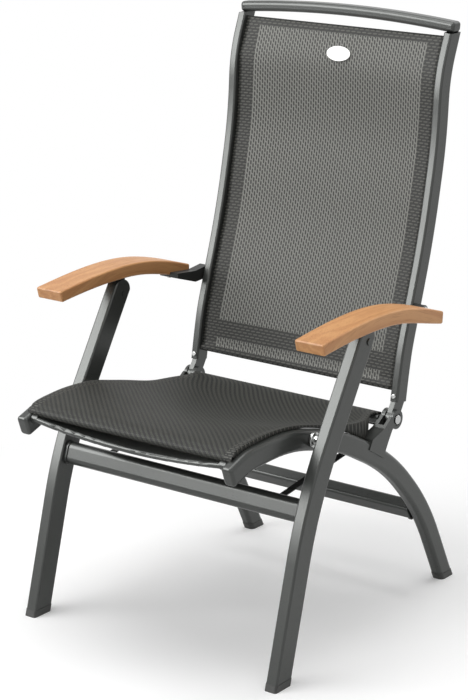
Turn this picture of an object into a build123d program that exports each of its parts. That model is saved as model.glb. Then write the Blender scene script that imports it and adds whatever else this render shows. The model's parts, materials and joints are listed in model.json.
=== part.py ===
from build123d import *
from math import atan2, cos, degrees, hypot, radians, sin, tan
import os

# Reclining garden armchair, in millimetres. X runs across the chair, the sitter faces -Y and Z is up.
# The origin is on the floor, under the middle of the chair. Side views are drawn in the YZ plane.

# Overall size of the chair
OVERALL_HEIGHT = 1091
FRAME_DEPTH = 720

# Side frames: the curved tubes that carry the seat and run down to the rear feet
SIDE_FRAME_X = 228
SIDE_TUBE_WIDTH = 24
SIDE_TUBE_DEPTH = 38
SIDE_TUBE_CORNER = 8
TUBE_WALL = 2
SIDE_FRAME_SHARES = (
    (-0.4790, 0.3660),
    (-0.4248, 0.3786),
    (-0.2513, 0.3822),
    (-0.0429, 0.3456),
    (0.1871, 0.2640),
    (0.3487, 0.1536),
    (0.4751, -0.0080),
)
FOOT_GLIDE_HEIGHT = 13
FOOT_GLIDE_PROUD = 0.8
TIP_CAP_LENGTH = 11
TIP_CAP_EDGE = 6

# Front legs, which cross outside the side frames and carry the armrests
LEG_X = 276
LEG_WIDTH = 24
LEG_DEPTH = 44
LEG_CORNER = 4
LEG_BEND_RADIUS = 700
LEG_FOOT_SHARE = (-0.3858, -0.0060)
LEG_BEND_SHARE = (-0.2648, 0.2841)
LEG_CAP_LEAD = 5
LEG_CAP_RISE = 5
LEG_CAP_SKIRT = 16
LEG_CAP_SLOT = 8.4
LEG_CAP_SLOT_DEPTH = 15
LEG_CAP_FRONT_WALL = 4
CAP_PLUG_LENGTH = 28
CAP_PLUG_GAP = 0.15

# Pivots, as shares of the depth and the height
CROSSING_PIVOT_SHARE = (-0.1749, 0.3712)
BACK_PIVOT_SHARE = (0.1959, 0.3410)
LEG_PIN_SHARE = (-0.0360, 0.5188)
ARM_PIVOT_SHARE = (0.2752, 0.5197)
PIVOT_BOLT_RADIUS = 5
BACK_BUSH_RADIUS = 11
ARM_BUSH_RADIUS = 9.5
LEG_PIN_RADIUS = 4
LEG_PIN_BUSH_RADIUS = 8
LEG_PIN_HEAD_RADIUS = 6.5
LEG_PIN_HEAD_HEIGHT = 1.6
RUNNING_GAP = 0.05
SIDE_GAP = 0.3
BOLT_HEAD_RADIUS = 8.5
BOLT_HEAD_HEIGHT = 4
BOLT_HEAD_EDGE = 1.8
SPACER_RADIUS = 14
SPACER_RING_LENGTH = 7
SPACER_WAIST_RADIUS = 10
SPACER_EDGE = 2

# Front cross bar between the legs
CROSS_BAR_SHARE = (-0.2645, 0.2713)
CROSS_BAR_HEIGHT = 42
CROSS_BAR_DEPTH = 24
CROSS_BAR_LEAN = 18
COLLAR_LENGTH = 5
COLLAR_PROUD = 2

# Rear stretcher between the rear legs
STRETCHER_SHARE = (0.3363, 0.1485)
STRETCHER_LENGTHWISE = 32
STRETCHER_ACROSS = 27
STRETCHER_CORNER = 6
STRETCHER_LEAN = 33

# Front seat bar, bowed down between the tips of the side frames, and the straight rod in the seat's front hem
SEAT_BAR_FRONT_SHARE = -0.4818
SEAT_BAR_LEVEL_SHARE = 0.3755
SEAT_BAR_SAG = 14
SEAT_BAR_HEIGHT = 10.5
SEAT_BAR_DEPTH = 50
SEAT_BAR_CORNER = 4.5
SEAT_BAR_BOSS_RADIUS = 8.5
SEAT_BAR_BOSS_LENGTH = 8
SEAT_ROD_DEPTH_SHARE = -0.4651
SEAT_ROD_RADIUS = 4.2
SEAT_ROD_LIFT = 2.9

# Back brackets: forked castings welded to the side frames
BRACKET_X = 229
BRACKET_WIDTH = 26
BRACKET_SLOT_X = 230
BRACKET_SLOT = 12
BRACKET_SLOT_RADIUS = 36
BRACKET_BOSS_RADIUS = 18
BRACKET_OUTLINE_SHARES = (
    (0.0718, 0.3090),
    (0.0848, 0.3245),
    (0.1375, 0.3350),
    (0.1708, 0.3500),
    (0.1959, 0.3410),
    (0.1729, 0.3253),
    (0.1561, 0.3080),
    (0.1459, 0.2961),
    (0.1375, 0.2830),
)
RECESS_RADIUS = 11.5
RECESS_DEPTH = 1.5

# Rear seat tube between the brackets
SEAT_TUBE_SHARE = (0.1689, 0.3420)
SEAT_TUBE_RADIUS = 9.5
SEAT_TUBE_GAP = 1.1

# Backrest frame
BACK_TUBE_X = 231
BACK_TUBE_WIDTH = 17
BACK_TUBE_DEPTH = 33
BACK_TUBE_CORNER = 4
BACK_TUBE_SHARES = (
    (0.2216, 0.3673),
    (0.2307, 0.4033),
    (0.2459, 0.4537),
    (0.3349, 0.6324),
    (0.3849, 0.7883),
    (0.3960, 0.9028),
    (0.4446, 0.9826),
)
LUG_WIDTH = 10
LUG_RADIUS = 16
LUG_NECK = 31
LUG_PLUG_LENGTH = 20
LUG_SCREW_RISE = 10
LUG_SCREW_RADIUS = 2.5
LUG_SCREW_LENGTH = 12
LUG_SCREW_HEAD_RADIUS = 4.5
LUG_SCREW_HEAD_HEIGHT = 3
SCREW_HEAD_EDGE = 1.2
HANDLE_HEIGHT = 20
HANDLE_DEPTH = 28
HANDLE_CORNER = 7
HANDLE_CROWN = 11
HANDLE_SHARE = 0.4415
HANDLE_GROOVE_WIDTH = 3
HANDLE_GROOVE_DEPTH = 0.8
HANDLE_CAP_LENGTH = 8
HANDLE_CAP_EDGE = 6

# Backrest sling
SLING_THICKNESS = 3
SLING_EDGE_GAP = 0.5
BACK_SLING_LOW_SHARE = 0.3960
BACK_SLING_HIGH_SHARE = 0.9660
BACK_SLING_FORWARD = 8
BACK_SLING_SAG = 14
BACK_SLING_ROWS = 18
HEM_ROD_RADIUS = 5
BADGE_WIDTH = 52
BADGE_HEIGHT = 28
BADGE_THICKNESS = 2
BADGE_SHARE = 0.9190
BADGE_EDGE = 0.6

# Seat sling, on top of the side frames
SEAT_SLING_LAP = 9
SEAT_SLING_REAR_GAP = 2
SEAT_SLING_SAG = 26
SEAT_SLING_FRONT_SHARE = -0.4714
SEAT_SLING_SHARES = (
    (-0.4388, 0.4015, 0.10),
    (-0.3998, 0.4040, 0.28),
    (-0.3624, 0.4055, 0.45),
    (-0.3054, 0.4050, 0.68),
    (-0.2471, 0.4020, 0.88),
    (-0.2081, 0.3975, 0.97),
    (-0.1276, 0.3845, 1.0),
    (-0.0470, 0.3705, 0.92),
    (0.0154, 0.3610, 0.75),
    (0.0794, 0.3555, 0.50),
    (0.1224, 0.3545, 0.28),
)

# Limit straps, which stop the legs from spreading
STRAP_X = 194
STRAP_WIDTH = 14
STRAP_THICKNESS = 2
STRAP_TAB_LENGTH = 20
STRAP_STUD_SHARE = (0.0885, 0.3080)
STRAP_STUD_RADIUS = 6

# Armrests
ARM_X = 289
ARM_WIDTH = 60
ARM_EDGE = 3.5
ARM_TOP_SHARES = (
    (-0.2939, 0.5573),
    (-0.1846, 0.5646),
    (-0.0568, 0.5687),
    (0.0591, 0.5637),
    (0.1375, 0.5535),
    (0.2335, 0.5353),
)
ARM_BOTTOM_SHARES = (
    (-0.2860, 0.5380),
    (-0.1832, 0.5440),
    (-0.0568, 0.5463),
    (0.0307, 0.5426),
    (0.1277, 0.5300),
    (0.2308, 0.5142),
)
RAIL_WIDTH = 20
RAIL_DEPTH = 9.5
RAIL_WALL = 1.6
RAIL_FIT = 0.2
RAIL_TO_CAP = 3.5
RAIL_FRONT_SHARE = -0.1959
RAIL_REAR_SHARE = 0.0493
NOTCH_RADIUS = 2.5
NOTCH_COUNT = 5
NOTCH_PITCH = 21.5
SLIDER_WIDTH = 15
SLIDER_LENGTH = 36
SLIDER_TOP_GAP = 0.6
SLIDER_HEIGHT = 7
TONGUE_WIDTH = 8
TONGUE_RADIUS = 12

# Hinge blocks behind the armrests
HINGE_KNUCKLE_RADIUS = 12
HINGE_PLATE_THICKNESS = 5
HINGE_PLATE_WIDTH = 44
HINGE_FRONT_SHARE = (0.1473, 0.5275)
HINGE_REAR_SHARE = (0.2238, 0.5160)
INSERT_WALL = 3
INSERT_GAP = 0.1
ARM_SCREW_X = 272
ARM_SCREW_SHARES = (0.1650, 0.2042)
ARM_SCREW_RADIUS = 2
ARM_SCREW_LENGTH = 14
ARM_SCREW_HEAD_RADIUS = 4.5
ARM_SCREW_HEAD_HEIGHT = 2.2
SCREW_HOLE_GAP = 0.25

os.makedirs("parts", exist_ok=True)


def place(share):
    """The point (y, z) of the side view at these shares of the depth and the height."""
    return (FRAME_DEPTH * share[0], OVERALL_HEIGHT * share[1])


def corner_radii(points):
    """The largest arc that each inner corner of a polyline allows beside its neighbours."""
    radii = []
    for before, corner, after in zip(points, points[1:], points[2:]):
        run = (corner[0] - before[0], corner[1] - before[1])
        next_run = (after[0] - corner[0], after[1] - corner[1])
        cross = run[0] * next_run[1] - run[1] * next_run[0]
        turn = abs(atan2(cross, run[0] * next_run[0] + run[1] * next_run[1]))
        radii.append(0.45 * min(hypot(*run), hypot(*next_run)) / tan(turn / 2))
    return radii


def across(start, toward):
    """The plane across a side-view run at its start, with its own X along the chair's X."""
    return Plane(origin=start, x_dir=(1, 0, 0), z_dir=toward)


def back_tube_y(z):
    """How far back the middle of the back tubes lies at a height."""
    for (low_y, low_z), (high_y, high_z) in zip(back_tube_points, back_tube_points[1:]):
        if z <= high_z:
            break
    return low_y + (high_y - low_y) * (z - low_z) / (high_z - low_z)


def sling_section(half_width, edge, sag, thickness):
    """Draw the outline of a sling cut across: level at its two edges and hollowed by the sag between them."""
    for level in (edge, edge + thickness):
        if sag:
            ThreePointArc((-half_width, level), (0, level + sag), (half_width, level))
        else:
            Line((-half_width, level), (half_width, level))
    for end in (-half_width, half_width):
        Line((end, edge), (end, edge + thickness))


def arm_screw_seat(side, share):
    """The plane under the hinge plate that an arm screw's head sits on, with its Z pointing down."""
    front_y, front_z = place(HINGE_FRONT_SHARE)
    rear_y, rear_z = place(HINGE_REAR_SHARE)
    slope = (rear_z - front_z) / (rear_y - front_y)
    y = FRAME_DEPTH * share
    z = front_z - HINGE_PLATE_THICKNESS + slope * (y - front_y)
    return Plane(origin=(side * ARM_SCREW_X, y, z), x_dir=(1, 0, 0), z_dir=(0, slope, -1))


# Places that several pieces share
crossing_y, crossing_z = place(CROSSING_PIVOT_SHARE)
back_y, back_z = place(BACK_PIVOT_SHARE)
pin_y, pin_z = place(LEG_PIN_SHARE)
arm_y, arm_z = place(ARM_PIVOT_SHARE)
side_frame_points = [place(share) for share in SIDE_FRAME_SHARES]
back_tube_points = [place(share) for share in BACK_TUBE_SHARES]
bend_y, bend_z = place(LEG_BEND_SHARE)
foot_y, foot_z = place(LEG_FOOT_SHARE)
leg_cap_round = LEG_DEPTH / 2
cap_y = pin_y - LEG_CAP_LEAD
cap_z = pin_z + LEG_CAP_RISE
leg_top_run = hypot(cap_y - bend_y, cap_z - bend_z)
leg_up_y = (cap_y - bend_y) / leg_top_run
leg_up_z = (cap_z - bend_z) / leg_top_run
leg_top_angle = degrees(atan2(leg_up_z, leg_up_y))
leg_end_y = cap_y - LEG_CAP_SKIRT * leg_up_y
leg_end_z = cap_z - LEG_CAP_SKIRT * leg_up_z
leg_points = [(foot_y, foot_z), (bend_y, bend_z), (leg_end_y, leg_end_z)]
bar_y, bar_z = place(CROSS_BAR_SHARE)
seat_bar_front_y = FRAME_DEPTH * SEAT_BAR_FRONT_SHARE
seat_bar_y = seat_bar_front_y + SEAT_BAR_DEPTH / 2
seat_bar_z = OVERALL_HEIGHT * SEAT_BAR_LEVEL_SHARE
seat_rod_y = FRAME_DEPTH * SEAT_ROD_DEPTH_SHARE
seat_rod_z = seat_bar_z + SEAT_BAR_HEIGHT / 2 + SEAT_ROD_LIFT + SEAT_ROD_RADIUS
seat_tube_y, seat_tube_z = place(SEAT_TUBE_SHARE)
stud_y, stud_z = place(STRAP_STUD_SHARE)
rail_bottom_z = cap_z + leg_cap_round + RAIL_TO_CAP
rail_top_z = rail_bottom_z + RAIL_DEPTH
rail_front_y = FRAME_DEPTH * RAIL_FRONT_SHARE
rail_rear_y = FRAME_DEPTH * RAIL_REAR_SHARE
handle_y = FRAME_DEPTH * HANDLE_SHARE

side_inner_x = SIDE_FRAME_X - SIDE_TUBE_WIDTH / 2
side_outer_x = SIDE_FRAME_X + SIDE_TUBE_WIDTH / 2
leg_inner_x = LEG_X - LEG_WIDTH / 2
leg_outer_x = LEG_X + LEG_WIDTH / 2
back_inner_x = BACK_TUBE_X - BACK_TUBE_WIDTH / 2
back_outer_x = BACK_TUBE_X + BACK_TUBE_WIDTH / 2
bracket_inner_x = BRACKET_X - BRACKET_WIDTH / 2
bracket_outer_x = BRACKET_X + BRACKET_WIDTH / 2
arm_inner_x = ARM_X - ARM_WIDTH / 2
knuckle_inner_x = back_outer_x + SIDE_GAP
knuckle_outer_x = arm_inner_x - SIDE_GAP
bolt_hole = PIVOT_BOLT_RADIUS + RUNNING_GAP
pin_hole = LEG_PIN_RADIUS + RUNNING_GAP
sling_half_width = back_inner_x - SLING_EDGE_GAP
seat_half_width = side_inner_x + SEAT_SLING_LAP
seat_rear_half_width = bracket_inner_x - SEAT_SLING_REAR_GAP

# The straight start of the back tubes: its direction, and where the lug screw's head sits on its front
tube_start_y, tube_start_z = back_tube_points[0]
next_y, next_z = back_tube_points[1]
first_run = hypot(next_y - tube_start_y, next_z - tube_start_z)
up_y = (next_y - tube_start_y) / first_run
up_z = (next_z - tube_start_z) / first_run
lug_screw_y = tube_start_y + LUG_SCREW_RISE * up_y - BACK_TUBE_DEPTH / 2 * up_z
lug_screw_z = tube_start_z + LUG_SCREW_RISE * up_z + BACK_TUBE_DEPTH / 2 * up_y

SIDES = (("right", -1), ("left", 1))

for name, side in SIDES:
    # Side frame: a flat oval tube from the front of the seat, over the crossing pivot, to the rear foot
    with BuildPart() as side_frame:
        with BuildLine(Plane.YZ.offset(side * SIDE_FRAME_X)) as path:
            FilletPolyline(*side_frame_points, radius=corner_radii(side_frame_points))
        with BuildSketch(across(path.line @ 0, path.line % 0)):
            RectangleRounded(SIDE_TUBE_WIDTH, SIDE_TUBE_DEPTH, SIDE_TUBE_CORNER)
            RectangleRounded(
                SIDE_TUBE_WIDTH - 2 * TUBE_WALL,
                SIDE_TUBE_DEPTH - 2 * TUBE_WALL,
                SIDE_TUBE_CORNER - TUBE_WALL,
                mode=Mode.SUBTRACT,
            )
        sweep(path=path.line)
        split(bisect_by=Plane.XY.offset(FOOT_GLIDE_HEIGHT), keep=Keep.TOP)
        with BuildSketch(Plane.YZ.offset(side * SIDE_FRAME_X)):
            with Locations((crossing_y, crossing_z)):
                Circle(bolt_hole)
        extrude(amount=SIDE_TUBE_WIDTH, both=True, mode=Mode.SUBTRACT)
    side_frame.part.label = f"side_frame_{name}"
    export_step(side_frame.part, f"parts/side_frame_{name}.step")

    # The outside of the side tube, which the bracket is fitted to
    with BuildPart() as side_envelope:
        with BuildLine(Plane.YZ.offset(side * SIDE_FRAME_X)) as path:
            FilletPolyline(*side_frame_points, radius=corner_radii(side_frame_points))
        with BuildSketch(across(path.line @ 0, path.line % 0)):
            RectangleRounded(SIDE_TUBE_WIDTH, SIDE_TUBE_DEPTH, SIDE_TUBE_CORNER)
        sweep(path=path.line)

    # Tip cap: the rounded plug that closes the front end of the side frame
    with BuildPart() as tip_cap:
        with BuildLine(Plane.YZ.offset(side * SIDE_FRAME_X)) as path:
            FilletPolyline(*side_frame_points, radius=corner_radii(side_frame_points))
        with BuildSketch(across(path.line @ 0, -(path.line % 0))):
            RectangleRounded(SIDE_TUBE_WIDTH, SIDE_TUBE_DEPTH, SIDE_TUBE_CORNER)
        extrude(amount=TIP_CAP_LENGTH)
        outward = Axis(origin=path.line @ 0, direction=-(path.line % 0))
        fillet(tip_cap.faces().sort_by(outward)[-1].edges(), TIP_CAP_EDGE)
        with BuildSketch(across(path.line @ 0, path.line % 0)):
            RectangleRounded(
                SIDE_TUBE_WIDTH - 2 * TUBE_WALL - 2 * CAP_PLUG_GAP,
                SIDE_TUBE_DEPTH - 2 * TUBE_WALL - 2 * CAP_PLUG_GAP,
                SIDE_TUBE_CORNER - TUBE_WALL - CAP_PLUG_GAP,
            )
        extrude(amount=TIP_CAP_LENGTH)
    tip_cap.part.label = f"side_frame_tip_cap_{name}"
    export_step(tip_cap.part, f"parts/side_frame_tip_cap_{name}.step")

    # Rear foot glide, which closes the side frame's lower end and stands on the floor
    with BuildPart() as rear_glide:
        with BuildLine(Plane.YZ.offset(side * SIDE_FRAME_X)) as path:
            Line(side_frame_points[-2], side_frame_points[-1])
        with BuildSketch(across(path.line @ 0, path.line % 0)):
            RectangleRounded(
                SIDE_TUBE_WIDTH + 2 * FOOT_GLIDE_PROUD,
                SIDE_TUBE_DEPTH + 2 * FOOT_GLIDE_PROUD,
                SIDE_TUBE_CORNER + FOOT_GLIDE_PROUD,
            )
        sweep(path=path.line)
        split(bisect_by=Plane.XY, keep=Keep.TOP)
        split(bisect_by=Plane.XY.offset(FOOT_GLIDE_HEIGHT), keep=Keep.BOTTOM)
    rear_glide.part.label = f"rear_foot_glide_{name}"
    export_step(rear_glide.part, f"parts/rear_foot_glide_{name}.step")

    # Front leg: straight below, gently bent back above, with its upper end under the armrest
    with BuildPart() as front_leg:
        with BuildLine(Plane.YZ.offset(side * LEG_X)) as path:
            FilletPolyline(*leg_points, radius=LEG_BEND_RADIUS)
        with BuildSketch(across(path.line @ 0, path.line % 0)):
            RectangleRounded(LEG_WIDTH, LEG_DEPTH, LEG_CORNER)
            RectangleRounded(
                LEG_WIDTH - 2 * TUBE_WALL,
                LEG_DEPTH - 2 * TUBE_WALL,
                LEG_CORNER - TUBE_WALL,
                mode=Mode.SUBTRACT,
            )
        sweep(path=path.line)
        split(bisect_by=Plane.XY.offset(FOOT_GLIDE_HEIGHT), keep=Keep.TOP)
        with BuildSketch(Plane.YZ.offset(side * LEG_X)):
            with Locations((crossing_y, crossing_z)):
                Circle(bolt_hole)
        extrude(amount=-side * LEG_WIDTH, mode=Mode.SUBTRACT)
    front_leg.part.label = f"front_leg_{name}"
    export_step(front_leg.part, f"parts/front_leg_{name}.step")

    # Front foot glide
    with BuildPart() as front_glide:
        with BuildLine(Plane.YZ.offset(side * LEG_X)) as path:
            Line(leg_points[0], leg_points[1])
        with BuildSketch(across(path.line @ 0, path.line % 0)):
            RectangleRounded(
                LEG_WIDTH + 2 * FOOT_GLIDE_PROUD,
                LEG_DEPTH + 2 * FOOT_GLIDE_PROUD,
                LEG_CORNER + FOOT_GLIDE_PROUD,
            )
        sweep(path=path.line)
        split(bisect_by=Plane.XY, keep=Keep.TOP)
        split(bisect_by=Plane.XY.offset(FOOT_GLIDE_HEIGHT), keep=Keep.BOTTOM)
    front_glide.part.label = f"front_foot_glide_{name}"
    export_step(front_glide.part, f"parts/front_foot_glide_{name}.step")

    # Leg cap: the round fork on top of the leg, with a plug inside the tube and a slot,
    # open at its top and rear, for the slider's tongue
    cap_plane = Plane(
        origin=(side * LEG_X, leg_end_y, leg_end_z), x_dir=(1, 0, 0), z_dir=(0, leg_up_y, leg_up_z)
    )
    with BuildPart() as leg_cap:
        with BuildSketch(cap_plane):
            RectangleRounded(LEG_WIDTH, LEG_DEPTH, LEG_CORNER)
        extrude(amount=LEG_CAP_SKIRT + leg_cap_round)
        with BuildSketch(Plane.YZ.offset(side * LEG_X)):
            with Locations((cap_y, cap_z)):
                Circle(leg_cap_round)
            with Locations(((cap_y + leg_end_y) / 2, (cap_z + leg_end_z) / 2)):
                Rectangle(LEG_CAP_SKIRT, 2 * leg_cap_round, rotation=leg_top_angle)
        extrude(amount=LEG_WIDTH, both=True, mode=Mode.INTERSECT)
        with BuildSketch(Plane(cap_plane.origin, x_dir=(1, 0, 0), z_dir=-cap_plane.z_dir)):
            RectangleRounded(
                LEG_WIDTH - 2 * TUBE_WALL - 2 * CAP_PLUG_GAP,
                LEG_DEPTH - 2 * TUBE_WALL - 2 * CAP_PLUG_GAP,
                LEG_CORNER - TUBE_WALL - CAP_PLUG_GAP,
            )
        extrude(amount=CAP_PLUG_LENGTH)
        with BuildSketch(cap_plane.offset(LEG_CAP_SKIRT - LEG_CAP_SLOT_DEPTH)):
            with Locations((0, LEG_DEPTH / 2 + LEG_CAP_FRONT_WALL)):
                Rectangle(LEG_CAP_SLOT, 2 * LEG_DEPTH)
        extrude(amount=2 * LEG_DEPTH, mode=Mode.SUBTRACT)
        with BuildSketch(Plane.YZ.offset(side * LEG_X)):
            with Locations((pin_y, pin_z)):
                Circle(pin_hole)
        extrude(amount=LEG_WIDTH, both=True, mode=Mode.SUBTRACT)
    leg_cap.part.label = f"leg_cap_{name}"
    export_step(leg_cap.part, f"parts/leg_cap_{name}.step")

    # Leg pin, through the fork of the leg cap, with the steel bush pressed on it that the slider turns on
    with BuildPart() as leg_pin:
        with BuildSketch(Plane.YZ.offset(side * LEG_X)):
            with Locations((pin_y, pin_z)):
                Circle(LEG_PIN_RADIUS)
        extrude(amount=LEG_WIDTH / 2 + SIDE_GAP, both=True)
        with BuildSketch(Plane.YZ.offset(side * LEG_X)):
            with Locations((pin_y, pin_z)):
                Circle(LEG_PIN_BUSH_RADIUS)
        extrude(amount=TONGUE_WIDTH / 2, both=True)
        for end in (-1, 1):
            with BuildSketch(Plane.YZ.offset(side * LEG_X + end * (LEG_WIDTH / 2 + SIDE_GAP))):
                with Locations((pin_y, pin_z)):
                    Circle(LEG_PIN_HEAD_RADIUS)
            extrude(amount=end * LEG_PIN_HEAD_HEIGHT)
    leg_pin.part.label = f"leg_pin_{name}"
    export_step(leg_pin.part, f"parts/leg_pin_{name}.step")

    # Crossing bolt, from the inside of the side frame into the hollow of the leg
    with BuildPart() as crossing_bolt:
        with BuildSketch(Plane.YZ.offset(side * side_inner_x)):
            with Locations((crossing_y, crossing_z)):
                Circle(PIVOT_BOLT_RADIUS)
        extrude(amount=side * (leg_outer_x - TUBE_WALL - SIDE_GAP - side_inner_x))
        with BuildSketch(Plane.YZ.offset(side * side_inner_x)):
            with Locations((crossing_y, crossing_z)):
                Circle(BOLT_HEAD_RADIUS)
        extrude(amount=-side * BOLT_HEAD_HEIGHT)
        bolt_ends = crossing_bolt.faces().sort_by(Axis.X)
        fillet((bolt_ends[0] if side > 0 else bolt_ends[-1]).edges(), BOLT_HEAD_EDGE)
    crossing_bolt.part.label = f"crossing_bolt_{name}"
    export_step(crossing_bolt.part, f"parts/crossing_bolt_{name}.step")

    # Crossing spacer, the polished bush of two rings and a waist that keeps the leg clear of the side frame
    spacer_length = leg_inner_x - SIDE_GAP - side_outer_x
    with BuildPart() as spacer:
        with BuildSketch(Plane.YZ.offset(side * side_outer_x)):
            with Locations((crossing_y, crossing_z)):
                Circle(SPACER_RADIUS)
                Circle(bolt_hole, mode=Mode.SUBTRACT)
        extrude(amount=side * spacer_length)
        with BuildSketch(Plane.YZ.offset(side * (side_outer_x + SPACER_RING_LENGTH))):
            with Locations((crossing_y, crossing_z)):
                Circle(SPACER_RADIUS)
                Circle(SPACER_WAIST_RADIUS, mode=Mode.SUBTRACT)
        extrude(amount=side * (spacer_length - 2 * SPACER_RING_LENGTH), mode=Mode.SUBTRACT)
        circles = spacer.edges().filter_by(GeomType.CIRCLE).sort_by(SortBy.RADIUS)
        fillet(circles[-4:], SPACER_EDGE)
    spacer.part.label = f"crossing_spacer_{name}"
    export_step(spacer.part, f"parts/crossing_spacer_{name}.step")

    # Back bracket: a forked casting on the side frame, with a boss for the back's pivot
    with BuildPart() as bracket:
        with BuildSketch(Plane.YZ.offset(side * BRACKET_X)):
            with BuildLine():
                Polyline(*[place(share) for share in BRACKET_OUTLINE_SHARES], close=True)
            make_face()
            with Locations((back_y, back_z)):
                Circle(BRACKET_BOSS_RADIUS)
        extrude(amount=BRACKET_WIDTH / 2, both=True)
        add(side_envelope.part, mode=Mode.SUBTRACT)
        with BuildSketch(Plane.YZ.offset(side * BRACKET_SLOT_X)):
            with Locations((back_y, back_z)):
                Circle(BRACKET_SLOT_RADIUS)
        extrude(amount=BRACKET_SLOT / 2, both=True, mode=Mode.SUBTRACT)
        with BuildSketch(Plane.YZ.offset(side * BRACKET_X)):
            with Locations((back_y, back_z)):
                Circle(bolt_hole)
        extrude(amount=BRACKET_WIDTH, both=True, mode=Mode.SUBTRACT)
        with BuildSketch(Plane.YZ.offset(side * bracket_outer_x)):
            with Locations((back_y, back_z)):
                Circle(RECESS_RADIUS)
        extrude(amount=-side * RECESS_DEPTH, mode=Mode.SUBTRACT)
    bracket.part.label = f"back_bracket_{name}"
    export_step(bracket.part, f"parts/back_bracket_{name}.step")

    # Back bolt, through both cheeks of the bracket, with the steel bush pressed on it that the lug turns on
    recess_x = bracket_outer_x - RECESS_DEPTH
    with BuildPart() as back_bolt:
        with BuildSketch(Plane.YZ.offset(side * bracket_inner_x)):
            with Locations((back_y, back_z)):
                Circle(PIVOT_BOLT_RADIUS)
        extrude(amount=side * (recess_x + SIDE_GAP - bracket_inner_x))
        with BuildSketch(Plane.YZ.offset(side * BRACKET_SLOT_X)):
            with Locations((back_y, back_z)):
                Circle(BACK_BUSH_RADIUS)
        extrude(amount=BRACKET_SLOT / 2 - SIDE_GAP, both=True)
        for seat_x, reach in (
            (bracket_inner_x - SIDE_GAP, -BOLT_HEAD_HEIGHT),
            (recess_x + SIDE_GAP, BOLT_HEAD_HEIGHT),
        ):
            with BuildSketch(Plane.YZ.offset(side * seat_x)):
                with Locations((back_y, back_z)):
                    Circle(BOLT_HEAD_RADIUS)
            extrude(amount=side * reach)
        with BuildSketch(Plane.YZ.offset(side * bracket_inner_x)):
            with Locations((back_y, back_z)):
                Circle(PIVOT_BOLT_RADIUS)
        extrude(amount=-side * SIDE_GAP)
        fillet(back_bolt.faces().sort_by(Axis.X)[0].edges(), BOLT_HEAD_EDGE)
        fillet(back_bolt.faces().sort_by(Axis.X)[-1].edges(), BOLT_HEAD_EDGE)
    back_bolt.part.label = f"back_bolt_{name}"
    export_step(back_bolt.part, f"parts/back_bolt_{name}.step")

    # Strap stud, welded to the inside of the side frame
    with BuildPart() as stud:
        with BuildSketch(Plane.YZ.offset(side * side_inner_x)):
            with Locations((stud_y, stud_z)):
                Circle(STRAP_STUD_RADIUS)
        extrude(amount=-side * (side_inner_x - STRAP_X + STRAP_WIDTH / 2))
    stud.part.label = f"strap_stud_{name}"
    export_step(stud.part, f"parts/strap_stud_{name}.step")

    # Limit strap, from the back of the cross bar up to the stud, which it goes round
    tab_y = bar_y + CROSS_BAR_DEPTH / 2 / cos(radians(CROSS_BAR_LEAN)) + SIDE_GAP + STRAP_THICKNESS / 2
    tab_rise = STRAP_TAB_LENGTH * cos(radians(CROSS_BAR_LEAN))
    tab_run = STRAP_TAB_LENGTH * sin(radians(CROSS_BAR_LEAN))
    loop_radius = STRAP_STUD_RADIUS + SIDE_GAP
    with BuildPart() as strap:
        with BuildSketch(Plane.YZ.offset(side * STRAP_X)):
            with BuildLine():
                Polyline(
                    (tab_y - tab_run, bar_z - tab_rise),
                    (tab_y, bar_z),
                    (stud_y, stud_z - loop_radius - STRAP_THICKNESS / 2),
                )
            trace(line_width=STRAP_THICKNESS)
            with Locations((stud_y, stud_z)):
                Circle(loop_radius + STRAP_THICKNESS)
                Circle(loop_radius, mode=Mode.SUBTRACT)
        extrude(amount=STRAP_WIDTH / 2, both=True)
    strap.part.label = f"limit_strap_{name}"
    export_step(strap.part, f"parts/limit_strap_{name}.step")

# Front cross bar: an oval tube between the legs, with a weld collar at each end
cross_bar_plane = Plane(
    origin=(-leg_inner_x, bar_y, bar_z),
    x_dir=(0, sin(radians(CROSS_BAR_LEAN)), cos(radians(CROSS_BAR_LEAN))),
    z_dir=(1, 0, 0),
)
with BuildPart() as cross_bar:
    with BuildSketch(cross_bar_plane):
        SlotOverall(CROSS_BAR_HEIGHT, CROSS_BAR_DEPTH)
        SlotOverall(CROSS_BAR_HEIGHT - 2 * TUBE_WALL, CROSS_BAR_DEPTH - 2 * TUBE_WALL, mode=Mode.SUBTRACT)
    extrude(amount=2 * leg_inner_x)
    for start in (0, 2 * leg_inner_x - COLLAR_LENGTH):
        with BuildSketch(cross_bar_plane.offset(start)):
            SlotOverall(CROSS_BAR_HEIGHT + 2 * COLLAR_PROUD, CROSS_BAR_DEPTH + 2 * COLLAR_PROUD)
            SlotOverall(CROSS_BAR_HEIGHT - 2 * TUBE_WALL, CROSS_BAR_DEPTH - 2 * TUBE_WALL, mode=Mode.SUBTRACT)
        extrude(amount=COLLAR_LENGTH)
cross_bar.part.label = "front_cross_bar"
export_step(cross_bar.part, "parts/front_cross_bar.step")

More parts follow.
